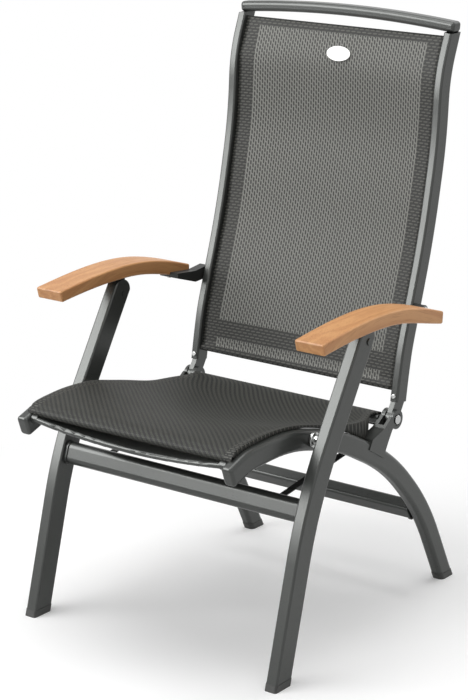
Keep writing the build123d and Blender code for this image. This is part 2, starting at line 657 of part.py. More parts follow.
# Rear stretcher: a rectangular tube between the rear legs, turned to their slope, with a collar at each end
stretcher_y, stretcher_z = place(STRETCHER_SHARE)
stretcher_plane = Plane(
    origin=(-side_inner_x, stretcher_y, stretcher_z),
    x_dir=(0, -sin(radians(STRETCHER_LEAN)), cos(radians(STRETCHER_LEAN))),
    z_dir=(1, 0, 0),
)
with BuildPart() as stretcher:
    with BuildSketch(stretcher_plane):
        RectangleRounded(STRETCHER_LENGTHWISE, STRETCHER_ACROSS, STRETCHER_CORNER)
        RectangleRounded(
            STRETCHER_LENGTHWISE - 2 * TUBE_WALL,
            STRETCHER_ACROSS - 2 * TUBE_WALL,
            STRETCHER_CORNER - TUBE_WALL,
            mode=Mode.SUBTRACT,
        )
    extrude(amount=2 * side_inner_x)
    for start in (0, 2 * side_inner_x - COLLAR_LENGTH):
        with BuildSketch(stretcher_plane.offset(start)):
            RectangleRounded(
                STRETCHER_LENGTHWISE + 2 * COLLAR_PROUD,
                STRETCHER_ACROSS + 2 * COLLAR_PROUD,
                STRETCHER_CORNER + COLLAR_PROUD,
            )
            RectangleRounded(
                STRETCHER_LENGTHWISE - 2 * TUBE_WALL,
                STRETCHER_ACROSS - 2 * TUBE_WALL,
                STRETCHER_CORNER - TUBE_WALL,
                mode=Mode.SUBTRACT,
            )
        extrude(amount=COLLAR_LENGTH)
stretcher.part.label = "rear_stretcher"
export_step(stretcher.part, "parts/rear_stretcher.step")

# Front seat bar: a flat bar, bowed down in the middle, with a round boss at each end near its front
boss_end_x = side_inner_x - SEAT_BAR_BOSS_LENGTH
with BuildPart() as seat_bar:
    with BuildLine(Plane.XZ.offset(-seat_bar_y)) as path:
        ThreePointArc((-boss_end_x, seat_bar_z), (0, seat_bar_z - SEAT_BAR_SAG), (boss_end_x, seat_bar_z))
    with BuildSketch(Plane(origin=path.line @ 0, x_dir=(0, 1, 0), z_dir=path.line % 0)):
        RectangleRounded(SEAT_BAR_DEPTH, SEAT_BAR_HEIGHT, SEAT_BAR_CORNER)
    sweep(path=path.line)
    for side in (-1, 1):
        with BuildSketch(Plane.YZ.offset(side * side_inner_x)):
            with Locations((seat_bar_front_y + SEAT_BAR_BOSS_RADIUS, seat_bar_z)):
                Circle(SEAT_BAR_BOSS_RADIUS)
        extrude(amount=-side * (SEAT_BAR_BOSS_LENGTH + SEAT_BAR_CORNER))
seat_bar.part.label = "front_seat_bar"
export_step(seat_bar.part, "parts/front_seat_bar.step")

# Straight rod in the seat's front hem
with BuildPart() as seat_rod:
    with BuildSketch(Plane.YZ.offset(-side_inner_x)):
        with Locations((seat_rod_y, seat_rod_z)):
            Circle(SEAT_ROD_RADIUS)
    extrude(amount=2 * side_inner_x)
seat_rod.part.label = "seat_front_rod"
export_step(seat_rod.part, "parts/seat_front_rod.step")

# Rear seat tube, between the inner cheeks of the brackets
with BuildPart() as seat_tube:
    with BuildSketch(Plane.YZ.offset(-bracket_inner_x)):
        with Locations((seat_tube_y, seat_tube_z)):
            Circle(SEAT_TUBE_RADIUS)
            Circle(SEAT_TUBE_RADIUS - TUBE_WALL, mode=Mode.SUBTRACT)
    extrude(amount=2 * bracket_inner_x)
seat_tube.part.label = "rear_seat_tube"
export_step(seat_tube.part, "parts/rear_seat_tube.step")

# Handle bar: a flat tube on top of the back tubes, raised in the middle, with a groove along its front
handle_end_x = back_outer_x - HANDLE_CAP_LENGTH
handle_end_z = OVERALL_HEIGHT - HANDLE_HEIGHT / 2 - HANDLE_CROWN
handle_top_z = handle_end_z + HANDLE_CROWN
handle_plane = Plane.XZ.offset(-handle_y)
with BuildPart() as handle:
    with BuildLine(handle_plane) as handle_path:
        ThreePointArc((-handle_end_x, handle_end_z), (0, handle_top_z), (handle_end_x, handle_end_z))
    with BuildSketch(Plane(origin=handle_path.line @ 0, x_dir=(0, 1, 0), z_dir=handle_path.line % 0)):
        RectangleRounded(HANDLE_DEPTH, HANDLE_HEIGHT, HANDLE_CORNER)
        RectangleRounded(
            HANDLE_DEPTH - 2 * TUBE_WALL,
            HANDLE_HEIGHT - 2 * TUBE_WALL,
            HANDLE_CORNER - TUBE_WALL,
            mode=Mode.SUBTRACT,
        )
        with Locations((-HANDLE_DEPTH / 2, 0)):
            Rectangle(2 * HANDLE_GROOVE_DEPTH, HANDLE_GROOVE_WIDTH, mode=Mode.SUBTRACT)
    sweep(path=handle_path.line)
handle.part.label = "back_handle"
export_step(handle.part, "parts/back_handle.step")

# Handle end caps: the rounded outer corners of the backrest
with BuildPart() as handle_caps:
    for end, way in ((0, -1), (1, 1)):
        cap_end = Plane(
            origin=handle_path.line @ end, x_dir=(0, 1, 0), z_dir=way * (handle_path.line % end)
        )
        with BuildSketch(cap_end):
            RectangleRounded(HANDLE_DEPTH, HANDLE_HEIGHT, HANDLE_CORNER)
        extrude(amount=HANDLE_CAP_LENGTH)
        with BuildSketch(Plane(cap_end.origin, x_dir=(0, 1, 0), z_dir=-cap_end.z_dir)):
            RectangleRounded(
                HANDLE_DEPTH - 2 * TUBE_WALL - 2 * CAP_PLUG_GAP,
                HANDLE_HEIGHT - 2 * TUBE_WALL - 2 * CAP_PLUG_GAP,
                HANDLE_CORNER - TUBE_WALL - CAP_PLUG_GAP,
            )
        extrude(amount=HANDLE_CAP_LENGTH)
    fillet(handle_caps.faces().sort_by(Axis.X)[0].edges(), HANDLE_CAP_EDGE)
    fillet(handle_caps.faces().sort_by(Axis.X)[-1].edges(), HANDLE_CAP_EDGE)
handle_caps.part.label = "handle_end_caps"
export_step(handle_caps.part, "parts/handle_end_caps.step")

# The handle and the space above it: its underside is where the back tubes end
with BuildPart() as handle_envelope:
    with BuildLine(handle_plane) as path:
        ThreePointArc((-handle_end_x, handle_end_z), (0, handle_top_z), (handle_end_x, handle_end_z))
    with BuildSketch(Plane(origin=path.line @ 0, x_dir=(0, 1, 0), z_dir=path.line % 0)):
        with Locations((0, HANDLE_HEIGHT / 2)):
            Rectangle(2 * HANDLE_DEPTH, 2 * HANDLE_HEIGHT)
    sweep(path=path.line)
    for end, way in ((0, -1), (1, 1)):
        with BuildSketch(Plane(origin=path.line @ end, x_dir=(0, way, 0), z_dir=way * (path.line % end))):
            with Locations((0, HANDLE_HEIGHT / 2)):
                Rectangle(2 * HANDLE_DEPTH, 2 * HANDLE_HEIGHT)
        extrude(amount=BACK_TUBE_WIDTH)

for name, side in SIDES:
    lug_screw_seat = Plane(
        origin=(side * BACK_TUBE_X, lug_screw_y, lug_screw_z), x_dir=(1, 0, 0), z_dir=(0, -up_z, up_y)
    )

    # Back tube: the upright of the backrest
    with BuildPart() as back_tube:
        with BuildLine(Plane.YZ.offset(side * BACK_TUBE_X)) as path:
            FilletPolyline(*back_tube_points, radius=corner_radii(back_tube_points))
        with BuildSketch(across(path.line @ 0, path.line % 0)):
            RectangleRounded(BACK_TUBE_WIDTH, BACK_TUBE_DEPTH, BACK_TUBE_CORNER)
            RectangleRounded(
                BACK_TUBE_WIDTH - 2 * TUBE_WALL,
                BACK_TUBE_DEPTH - 2 * TUBE_WALL,
                BACK_TUBE_CORNER - TUBE_WALL,
                mode=Mode.SUBTRACT,
            )
        sweep(path=path.line)
        add(handle_envelope.part, mode=Mode.SUBTRACT)
        with BuildSketch(Plane.YZ.offset(side * BACK_TUBE_X)):
            with Locations((arm_y, arm_z)):
                Circle(bolt_hole)
        extrude(amount=side * BACK_TUBE_WIDTH, mode=Mode.SUBTRACT)
        with BuildSketch(lug_screw_seat):
            Circle(LUG_SCREW_RADIUS + RUNNING_GAP)
        extrude(amount=-LUG_SCREW_LENGTH, mode=Mode.SUBTRACT)
    back_tube.part.label = f"back_tube_{name}"
    export_step(back_tube.part, f"parts/back_tube_{name}.step")

    # Back lug: the solid blade that turns between the cheeks of the bracket, with a plug inside the back tube
    half_neck = LUG_NECK / 2
    with BuildPart() as lug:
        with BuildSketch(Plane.YZ.offset(side * BRACKET_SLOT_X)):
            with Locations((back_y, back_z)):
                Circle(LUG_RADIUS)
            with BuildLine():
                Polyline(
                    (tube_start_y - half_neck * up_z, tube_start_z + half_neck * up_y),
                    (tube_start_y + half_neck * up_z, tube_start_z - half_neck * up_y),
                    (back_y + LUG_RADIUS * up_z, back_z - LUG_RADIUS * up_y),
                    (back_y - LUG_RADIUS * up_z, back_z + LUG_RADIUS * up_y),
                    close=True,
                )
            make_face()
            with Locations((back_y, back_z)):
                Circle(BACK_BUSH_RADIUS + RUNNING_GAP, mode=Mode.SUBTRACT)
        extrude(amount=LUG_WIDTH / 2, both=True)
        with BuildSketch(
            Plane(
                origin=(side * BACK_TUBE_X, tube_start_y, tube_start_z), x_dir=(1, 0, 0), z_dir=(0, up_y, up_z)
            )
        ):
            RectangleRounded(
                BACK_TUBE_WIDTH - 2 * TUBE_WALL - 2 * CAP_PLUG_GAP,
                BACK_TUBE_DEPTH - 2 * TUBE_WALL - 2 * CAP_PLUG_GAP,
                BACK_TUBE_CORNER - TUBE_WALL - CAP_PLUG_GAP,
            )
        extrude(amount=LUG_PLUG_LENGTH)
        with BuildSketch(lug_screw_seat):
            Circle(LUG_SCREW_RADIUS + RUNNING_GAP)
        extrude(amount=-LUG_SCREW_LENGTH, mode=Mode.SUBTRACT)
    lug.part.label = f"back_lug_{name}"
    export_step(lug.part, f"parts/back_lug_{name}.step")

    # Arm pivot insert: the threaded bush inside the back tube
    with BuildPart() as insert:
        with BuildSketch(Plane.YZ.offset(side * (back_inner_x + TUBE_WALL + INSERT_GAP))):
            with Locations((arm_y, arm_z)):
                Circle(bolt_hole + INSERT_WALL)
                Circle(bolt_hole, mode=Mode.SUBTRACT)
        extrude(amount=side * (BACK_TUBE_WIDTH - 2 * TUBE_WALL - 2 * INSERT_GAP))
    insert.part.label = f"arm_pivot_insert_{name}"
    export_step(insert.part, f"parts/arm_pivot_insert_{name}.step")

    # Arm bolt, into the insert, with the steel bush pressed on it that the knuckle of the hinge block turns on
    bolt_tip_x = back_inner_x + TUBE_WALL + SIDE_GAP
    bolt_seat_x = knuckle_outer_x + SIDE_GAP
    with BuildPart() as arm_bolt:
        with BuildSketch(Plane.YZ.offset(side * bolt_tip_x)):
            with Locations((arm_y, arm_z)):
                Circle(PIVOT_BOLT_RADIUS)
        extrude(amount=side * (bolt_seat_x - bolt_tip_x))
        with BuildSketch(Plane.YZ.offset(side * knuckle_inner_x)):
            with Locations((arm_y, arm_z)):
                Circle(ARM_BUSH_RADIUS)
        extrude(amount=side * (knuckle_outer_x - knuckle_inner_x))
        with BuildSketch(Plane.YZ.offset(side * bolt_seat_x)):
            with Locations((arm_y, arm_z)):
                Circle(BOLT_HEAD_RADIUS)
        extrude(amount=side * BOLT_HEAD_HEIGHT)
        head_edges = arm_bolt.edges().filter_by(GeomType.CIRCLE).sort_by(Axis.X)
        fillet(head_edges[-1] if side > 0 else head_edges[0], BOLT_HEAD_EDGE)
    arm_bolt.part.label = f"arm_bolt_{name}"
    export_step(arm_bolt.part, f"parts/arm_bolt_{name}.step")

    # Armrest: a curved wooden board with a groove underneath for the rail
    with BuildPart() as armrest:
        with BuildSketch(Plane.YZ.offset(side * ARM_X)):
            with BuildLine():
                top = Spline(*[place(share) for share in ARM_TOP_SHARES])
                bottom = Spline(*[place(share) for share in ARM_BOTTOM_SHARES])
                Line(top @ 0, bottom @ 0)
                Line(top @ 1, bottom @ 1)
            make_face()
        extrude(amount=ARM_WIDTH / 2, both=True)
        fillet(armrest.edges(), ARM_EDGE)
        with BuildSketch(Plane.XY.offset(rail_top_z + RAIL_FIT)):
            with Locations((side * LEG_X, (rail_front_y + rail_rear_y) / 2)):
                Rectangle(RAIL_WIDTH + 2 * RAIL_FIT, rail_rear_y - rail_front_y + 2 * RAIL_FIT)
        extrude(amount=-2 * RAIL_DEPTH, mode=Mode.SUBTRACT)
        for share in ARM_SCREW_SHARES:
            with BuildSketch(arm_screw_seat(side, share)):
                Circle(ARM_SCREW_RADIUS + RUNNING_GAP)
            extrude(amount=-ARM_SCREW_LENGTH, mode=Mode.SUBTRACT)
    armrest.part.label = f"armrest_{name}"
    export_step(armrest.part, f"parts/armrest_{name}.step")

    # Arm rail: an inverted channel let into the armrest, with notches for the reclining positions
    with BuildPart() as rail:
        with BuildSketch(Plane.XZ.offset(-rail_rear_y)):
            with Locations((side * LEG_X, rail_bottom_z + RAIL_DEPTH / 2)):
                Rectangle(RAIL_WIDTH, RAIL_DEPTH)
            with Locations((side * LEG_X, rail_bottom_z + (RAIL_DEPTH - RAIL_WALL) / 2)):
                Rectangle(RAIL_WIDTH - 2 * RAIL_WALL, RAIL_DEPTH - RAIL_WALL, mode=Mode.SUBTRACT)
        extrude(amount=rail_rear_y - rail_front_y)
        with BuildSketch(Plane.YZ.offset(side * LEG_X)):
            for notch in range(NOTCH_COUNT):
                with Locations((pin_y - notch * NOTCH_PITCH, rail_bottom_z)):
                    Circle(NOTCH_RADIUS)
        extrude(amount=RAIL_WIDTH, both=True, mode=Mode.SUBTRACT)
    rail.part.label = f"arm_rail_{name}"
    export_step(rail.part, f"parts/arm_rail_{name}.step")

    # Slider: a block that runs in the rail, with a tongue down to the bush on the leg pin
    slider_top_z = rail_top_z - RAIL_WALL - SLIDER_TOP_GAP
    with BuildPart() as slider:
        with BuildSketch(Plane.XY.offset(slider_top_z - SLIDER_HEIGHT)):
            with Locations((side * LEG_X, pin_y)):
                Rectangle(SLIDER_WIDTH, SLIDER_LENGTH)
        extrude(amount=SLIDER_HEIGHT)
        with BuildSketch(Plane.YZ.offset(side * LEG_X)):
            with Locations((pin_y, pin_z)):
                Circle(TONGUE_RADIUS)
            with Locations((pin_y, (pin_z + slider_top_z - SLIDER_HEIGHT) / 2)):
                Rectangle(2 * TONGUE_RADIUS, slider_top_z - SLIDER_HEIGHT - pin_z)
        extrude(amount=TONGUE_WIDTH / 2, both=True)
        with BuildSketch(Plane.YZ.offset(side * LEG_X)):
            with Locations((pin_y, pin_z)):
                Circle(LEG_PIN_BUSH_RADIUS + RUNNING_GAP)
        extrude(amount=TONGUE_WIDTH, both=True, mode=Mode.SUBTRACT)
    slider.part.label = f"slider_{name}"
    export_step(slider.part, f"parts/slider_{name}.step")

    # Hinge block: a plate under the rear of the armrest, with a knuckle beside the back tube
    front_y, front_z = place(HINGE_FRONT_SHARE)
    rear_y, rear_z = place(HINGE_REAR_SHARE)
    with BuildPart() as hinge:
        with BuildSketch(Plane.YZ.offset(side * knuckle_inner_x)):
            with Locations((arm_y, arm_z)):
                Circle(HINGE_KNUCKLE_RADIUS)
            with BuildLine():
                Polyline(
                    (arm_y, arm_z + HINGE_KNUCKLE_RADIUS),
                    (arm_y, arm_z - HINGE_KNUCKLE_RADIUS),
                    (rear_y, rear_z - 2 * HINGE_PLATE_THICKNESS),
                    (front_y, front_z - HINGE_PLATE_THICKNESS),
                    (front_y, front_z + HINGE_PLATE_THICKNESS),
                    (rear_y, rear_z + HINGE_KNUCKLE_RADIUS),
                    close=True,
                )
            make_face()
        extrude(amount=side * (knuckle_outer_x - knuckle_inner_x))
        with BuildSketch(Plane.YZ.offset(side * knuckle_inner_x)):
            with BuildLine():
                Polyline(
                    (front_y, front_z - HINGE_PLATE_THICKNESS),
                    (rear_y, rear_z - HINGE_PLATE_THICKNESS),
                    (rear_y, rear_z + HINGE_PLATE_THICKNESS),
                    (front_y, front_z + HINGE_PLATE_THICKNESS),
                    close=True,
                )
            make_face()
        extrude(amount=side * HINGE_PLATE_WIDTH)
        add(armrest.part, mode=Mode.SUBTRACT)
        with BuildSketch(Plane.YZ.offset(side * knuckle_inner_x)):
            with Locations((arm_y, arm_z)):
                Circle(ARM_BUSH_RADIUS + RUNNING_GAP)
        extrude(amount=side * (knuckle_outer_x - knuckle_inner_x), mode=Mode.SUBTRACT)
        for share in ARM_SCREW_SHARES:
            with BuildSketch(arm_screw_seat(side, share)):
                Circle(ARM_SCREW_RADIUS + SCREW_HOLE_GAP)
            extrude(amount=-ARM_SCREW_LENGTH, mode=Mode.SUBTRACT)
    hinge.part.label = f"arm_hinge_{name}"
    export_step(hinge.part, f"parts/arm_hinge_{name}.step")

# Lug screws, which hold the lugs in the lower ends of the back tubes
with BuildPart() as lug_screws:
    for name, side in SIDES:
        lug_screw_seat = Plane(
            origin=(side * BACK_TUBE_X, lug_screw_y, lug_screw_z), x_dir=(1, 0, 0), z_dir=(0, -up_z, up_y)
        )
        with BuildSketch(lug_screw_seat):
            Circle(LUG_SCREW_HEAD_RADIUS)
        extrude(amount=LUG_SCREW_HEAD_HEIGHT)
        with BuildSketch(lug_screw_seat):
            Circle(LUG_SCREW_RADIUS)
        extrude(amount=-LUG_SCREW_LENGTH)
    head_axis = Axis(origin=lug_screw_seat.origin, direction=lug_screw_seat.z_dir)
    fillet(lug_screws.faces().filter_by(head_axis).group_by(head_axis)[-1].edges(), SCREW_HEAD_EDGE)
lug_screws.part.label = "lug_screws"
export_step(lug_screws.part, "parts/lug_screws.step")

# Arm screws, which hold the hinge blocks under the armrests
with BuildPart() as arm_screws:
    for name, side in SIDES:
        for share in ARM_SCREW_SHARES:
            with BuildSketch(arm_screw_seat(side, share)):
                Circle(ARM_SCREW_HEAD_RADIUS)
            extrude(amount=ARM_SCREW_HEAD_HEIGHT)
            with BuildSketch(arm_screw_seat(side, share)):
                Circle(ARM_SCREW_RADIUS)
            extrude(amount=-ARM_SCREW_LENGTH)
    head_axis = Axis(origin=arm_screw_seat(side, share).origin, direction=arm_screw_seat(side, share).z_dir)
    fillet(arm_screws.faces().filter_by(head_axis).group_by(head_axis)[-1].edges(), SCREW_HEAD_EDGE)
arm_screws.part.label = "arm_screws"
export_step(arm_screws.part, "parts/arm_screws.step")

# Backrest sling: woven fabric stretched between the back tubes, hollowed a little towards the rear
sling_low_z = OVERALL_HEIGHT * BACK_SLING_LOW_SHARE
sling_high_z = OVERALL_HEIGHT * BACK_SLING_HIGH_SHARE
sling_step = (sling_high_z - sling_low_z) / BACK_SLING_ROWS
sling_rows = []
for row in range(BACK_SLING_ROWS + 1):
    row_z = sling_low_z + row * sling_step
    sag = BACK_SLING_SAG * (1 - (2 * row / BACK_SLING_ROWS - 1) ** 4)
    sling_rows.append((row_z, back_tube_y(row_z) - BACK_SLING_FORWARD, sag))
with BuildPart() as back_sling:
    for row_z, front, sag in sling_rows:
        with BuildSketch(Plane.XY.offset(row_z)):
            with BuildLine():
                sling_section(sling_half_width, front, sag, SLING_THICKNESS)
            make_face()
    loft(ruled=True)
back_sling.part.label = "back_sling"
export_step(back_sling.part, "parts/back_sling.step")

# Lower hem rod, which keeps the bottom of the backrest sling straight
rod_z = sling_low_z - HEM_ROD_RADIUS - SIDE_GAP
with BuildPart() as back_rod:
    with BuildSketch(Plane.YZ.offset(-back_inner_x)):
        with Locations((back_tube_y(sling_low_z) - BACK_SLING_FORWARD + SLING_THICKNESS / 2, rod_z)):
            Circle(HEM_ROD_RADIUS)
    extrude(amount=2 * back_inner_x)
back_rod.part.label = "back_hem_rod"
export_step(back_rod.part, "parts/back_hem_rod.step")

# Badge: a plain oval plate on the front of the backrest sling
badge_z = OVERALL_HEIGHT * BADGE_SHARE
badge_row = int((badge_z - sling_low_z) / sling_step)
low_z, low_front, low_sag = sling_rows[badge_row]
high_z, high_front, high_sag = sling_rows[badge_row + 1]
badge_run = high_front + high_sag - low_front - low_sag
badge_y = low_front + low_sag + badge_run * (badge_z - low_z) / sling_step
badge_plane = Plane(
    origin=(0, badge_y - SIDE_GAP - BADGE_EDGE, badge_z), x_dir=(1, 0, 0), z_dir=(0, -sling_step, badge_run)
)
with BuildPart() as badge:
    with BuildSketch(badge_plane):
        Ellipse(BADGE_WIDTH / 2, BADGE_HEIGHT / 2)
    extrude(amount=BADGE_THICKNESS)
badge.part.label = "back_badge"
export_step(badge.part, "parts/back_badge.step")

# Seat sling: woven fabric from the front rod over the side frames to the rear seat tube, hollowed in the middle
# and narrower between the brackets
seat_narrow_y = FRAME_DEPTH * BRACKET_OUTLINE_SHARES[1][0]
seat_rows = [(*place((y_share, z_share)), sag_share) for y_share, z_share, sag_share in SEAT_SLING_SHARES]
seat_front_z = seat_rod_z + SEAT_ROD_RADIUS + SLING_EDGE_GAP + SLING_THICKNESS
seat_rear_z = seat_tube_z + SEAT_TUBE_RADIUS + SEAT_TUBE_GAP + SLING_THICKNESS
seat_rows.insert(0, (FRAME_DEPTH * SEAT_SLING_FRONT_SHARE, seat_front_z, 0))
seat_rows.append((seat_tube_y, seat_rear_z, 0))
with BuildPart() as seat_sling:
    for y, z, sag_share in seat_rows:
        half_width = seat_rear_half_width if y > seat_narrow_y else seat_half_width
        with BuildSketch(Plane.XZ.offset(-y)):
            with BuildLine():
                sling_section(half_width, z, -SEAT_SLING_SAG * sag_share, -SLING_THICKNESS)
            make_face()
    loft()
seat_sling.part.label = "seat_sling"
export_step(seat_sling.part, "parts/seat_sling.step")
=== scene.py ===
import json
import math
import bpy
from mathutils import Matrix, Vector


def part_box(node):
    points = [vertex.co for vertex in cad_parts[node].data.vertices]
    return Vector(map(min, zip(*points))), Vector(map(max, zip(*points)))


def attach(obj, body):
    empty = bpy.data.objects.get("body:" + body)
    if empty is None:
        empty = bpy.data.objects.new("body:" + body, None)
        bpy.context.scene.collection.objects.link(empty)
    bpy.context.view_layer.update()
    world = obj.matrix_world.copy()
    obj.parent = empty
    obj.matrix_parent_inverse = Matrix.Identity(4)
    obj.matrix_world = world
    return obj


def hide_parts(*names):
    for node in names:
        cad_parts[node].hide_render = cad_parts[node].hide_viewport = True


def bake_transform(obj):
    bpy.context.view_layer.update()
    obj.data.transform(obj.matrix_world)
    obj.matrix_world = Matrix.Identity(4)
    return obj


bl_info = {
    "name": "Reclining Garden Armchair",
    "version": (1, 0, 0),
    "blender": (4, 5, 0),
    "location": "View3D > Sidebar > Armchair",
    "description": "Dresses a folding recliner's frame with slings, teak arms, coating and fittings",
    "category": "Add Mesh",
}

import bmesh
import bpy
from bpy.props import FloatProperty, FloatVectorProperty, PointerProperty, StringProperty
from mathutils import Vector
from mathutils.bvhtree import BVHTree

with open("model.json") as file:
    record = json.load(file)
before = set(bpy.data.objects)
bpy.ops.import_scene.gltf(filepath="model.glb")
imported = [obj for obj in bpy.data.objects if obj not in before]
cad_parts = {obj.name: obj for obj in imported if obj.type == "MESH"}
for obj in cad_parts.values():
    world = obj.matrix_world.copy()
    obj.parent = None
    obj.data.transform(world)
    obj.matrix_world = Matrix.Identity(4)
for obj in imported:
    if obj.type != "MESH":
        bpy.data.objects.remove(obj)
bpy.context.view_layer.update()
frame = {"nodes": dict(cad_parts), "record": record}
NODES = frame["nodes"]
SIDES = ("right", "left")
MM = 0.001

# Kinds of node used often. A mix of colours takes its share at socket 0 and the colours at sockets 6 and 7.
MATH = "ShaderNodeMath"
NOISE = "ShaderNodeTexNoise"
RANGE = "ShaderNodeMapRange"
MIX = "ShaderNodeMix"
OF_COLOURS = {"output": 2, "data_type": "RGBA"}

# Corners of a CAD mesh that lie this close become one.
WELD = 0.02 * MM
# A ray towards a surface starts this far outside it, and keeps this far from the surface's rim.
RAY_START = 0.1
RIM = 0.5 * MM

# The back's cloth goes round its lower rod from the first angle to the last, in degrees, in this many steps.
BACK_HEM_ARC = (400, 140, 13)
BACK_HEM_PLAY = 0.15 * MM
BACK_HEM_REACH = 1.5 * MM
BACK_HEM_GAP = 4 * MM
BACK_RIM = 0.4 * MM
BACK_COLUMNS = (3, 40, 3)
BACK_ROWS = (2, 3, 60, 2)
BACK_SMOOTHING = 12

# The seat's cloth goes round its front rod and its rear tube in the same way.
FRONT_HEM_ARC = (250, 90, 8)
REAR_HEM_ARC = (68, -86, 7)
SEAT_LINE_X = 0.2
SEAT_HEM_INSET = 4 * MM
SEAT_HEM_LEAD = 2 * MM
SEAT_COLUMNS = (3, 38, 3)
SEAT_ROWS = 64
SEAT_SMOOTHING = 6
SEAT_EVENED_SHARE = 0.999

# The seat's edge turns down to the side frame in this many steps, drawn as shares of the half width.
SKIRT_STEPS = 2
SKIRT_SHARE = 0.01
SKIRT_SPREAD = 1.2 * MM
SKIRT_DROP = 3 * MM
SKIRT_LEAST_DROP = 0.5 * MM
SKIRT_CLEARANCE = 0.8 * MM

# The grain follows most of an armrest's bend, and the left board is cut from another part of the plank.
GRAIN_BEND = 0.8
PLANK_SHIFT = 0.37

# A strap is cut across into this many lengths.
STRAP_LENGTHS = 16

# Each light has a name, a place, a size in metres and a power in watts, and looks at the chair's middle.
LIGHT_AIM = (0, 0, 0.5)
LIGHTS = (
    ("top_light", (-0.3, -0.3, 3.4), 2.6, 72.0),
    ("front_softbox", (-1.95, -2.6, 1.9), 2.4, 50.0),
    ("front_gloss", (-1.9, -2.3, 2.1), 2.5, 130.0),
    ("fill_light", (2.8, -1.4, 2.2), 2.0, 10.0),
    ("rear_light", (0.8, 2.6, 2.6), 2.0, 16.0),
)
# This light shows only in the coating's gloss, and leaves the matt surfaces alone.
GLOSS_LIGHT = "front_gloss"
SENSOR_HEIGHT = 36.0
FLOOR_SIZE = 30.0
# The floor keeps its shadow this far from the chair's middle, and is plain white past the second distance.
SHADOW_REACH = (0.5, 1.05)


def length(name, description, default):
    """A length in metres that a user may change."""
    return FloatProperty(name=name, description=description, default=default, unit="LENGTH")


def colour(name, description, default):
    """An sRGB hex colour that a user may change."""
    return StringProperty(name=name, description=description, default=default)


class ClothSettings(bpy.types.PropertyGroup):
    """Sizes of the two slings and their weaves."""

    thickness: length("Thickness", "Thickness of the cloth", 0.0016)
    back_pitch: length("Back pitch", "Distance between the back's warp yarns", 0.0055)
    back_dash: length("Back dash", "Distance between the dark dashes along a yarn", 0.0104)
    border_pitch: length("Border pitch", "Distance between the rows of the dark borders", 0.0056)
    border_dash: length("Border dash", "Distance between the pale dashes along a row", 0.0120)
    seat_pitch: length("Seat pitch", "Distance between the seat's yarns", 0.0029)
    band_width: length("Band width", "Width of the dark side bands", 0.033)
    top_band: length("Top band", "Height of the dark band at the top", 0.015)
    low_strip: length("Low strip", "Height of the pale strip above the lower hem", 0.018)
    low_band: length("Low band", "Height of the dark band above the strip", 0.033)
    side_hem: length("Side hem", "Width of the seat's side hems", 0.015)


class FinishSettings(bpy.types.PropertyGroup):
    """Colours of the finishes, as sRGB hex."""

    coating: colour("Coating", "Powder coat of the frame", "#404240")
    glide: colour("Glide", "Foot glides", "#333432")
    teak: colour("Teak", "Oiled teak, pale growth", "#cf9c68")
    teak_dark: colour("Teak late wood", "Oiled teak, dark growth", "#a26433")
    back_yarn: colour("Back yarn", "Pale yarn of the backrest", "#787873")
    back_gap: colour("Back gap", "Dark dash between the pale yarns", "#1b1c1a")
    seat_yarn: colour("Seat yarn", "Pale yarn of the seat", "#393a33")
    seat_gap: colour("Seat gap", "Dark yarn of the seat", "#10110f")


class StudioSettings(bpy.types.PropertyGroup):
    """Camera and light of the studio."""

    camera_place: FloatVectorProperty(
        name="Camera", description="Place of the camera", default=(2.3960, -3.2185, 1.6669), unit="LENGTH"
    )
    azimuth: FloatProperty(name="Azimuth", description="Angle round the chair, in degrees", default=36.96)
    elevation: FloatProperty(
        name="Elevation", description="Angle above the horizon, in degrees", default=16.28
    )
    lens: FloatProperty(name="Lens", description="Focal length in millimetres", default=117.59)
    floor_lift: FloatProperty(
        name="Floor lift", description="Glow that whitens the floor in view", default=0.18
    )
    sky: FloatProperty(name="Sky", description="Strength of the even light all round", default=0.34)


def cloth():
    """The user's sizes of the slings."""
    return bpy.context.scene.armchair_cloth


def finish_colours():
    """The user's colours."""
    return bpy.context.scene.armchair_finish


def studio():
    """The user's camera and light."""
    return bpy.context.scene.armchair_studio


def linear(code):
    """The linear RGBA of an sRGB hex colour."""
    values = [int(code[i : i + 2], 16) / 255 for i in (1, 3, 5)]
    return tuple(v / 12.92 if v <= 0.04045 else ((v + 0.055) / 1.055) ** 2.4 for v in values) + (1.0,)


def scaled(rgba, factor):
    """A linear colour made lighter or darker."""
    return tuple(factor * value for value in rgba[:3]) + (1.0,)


def add_node(tree, kind, inputs=None, output=0, into=None, **settings):
    """Add a node, fill or link its inputs, link one output on if asked, and return that output."""
    node = tree.nodes.new(kind)
    for name, value in settings.items():
        setattr(node, name, value)
    for key, value in (inputs or {}).items():
        if isinstance(value, bpy.types.NodeSocket):
            tree.links.new(value, node.inputs[key])
        else:
            node.inputs[key].default_value = value
    if into is not None:
        tree.links.new(node.outputs[output], into)
    return node.outputs[output]


def new_material(name, **sockets):
    """A material with its Principled shader's sockets set. Returns the material, its tree and the shader."""
    material = bpy.data.materials.new(name)
    material.use_nodes = True
    tree = material.node_tree
    shader = tree.nodes["Principled BSDF"]
    for key, value in sockets.items():
        shader.inputs[key.replace("_", " ")].default_value = value
    return material, tree, shader


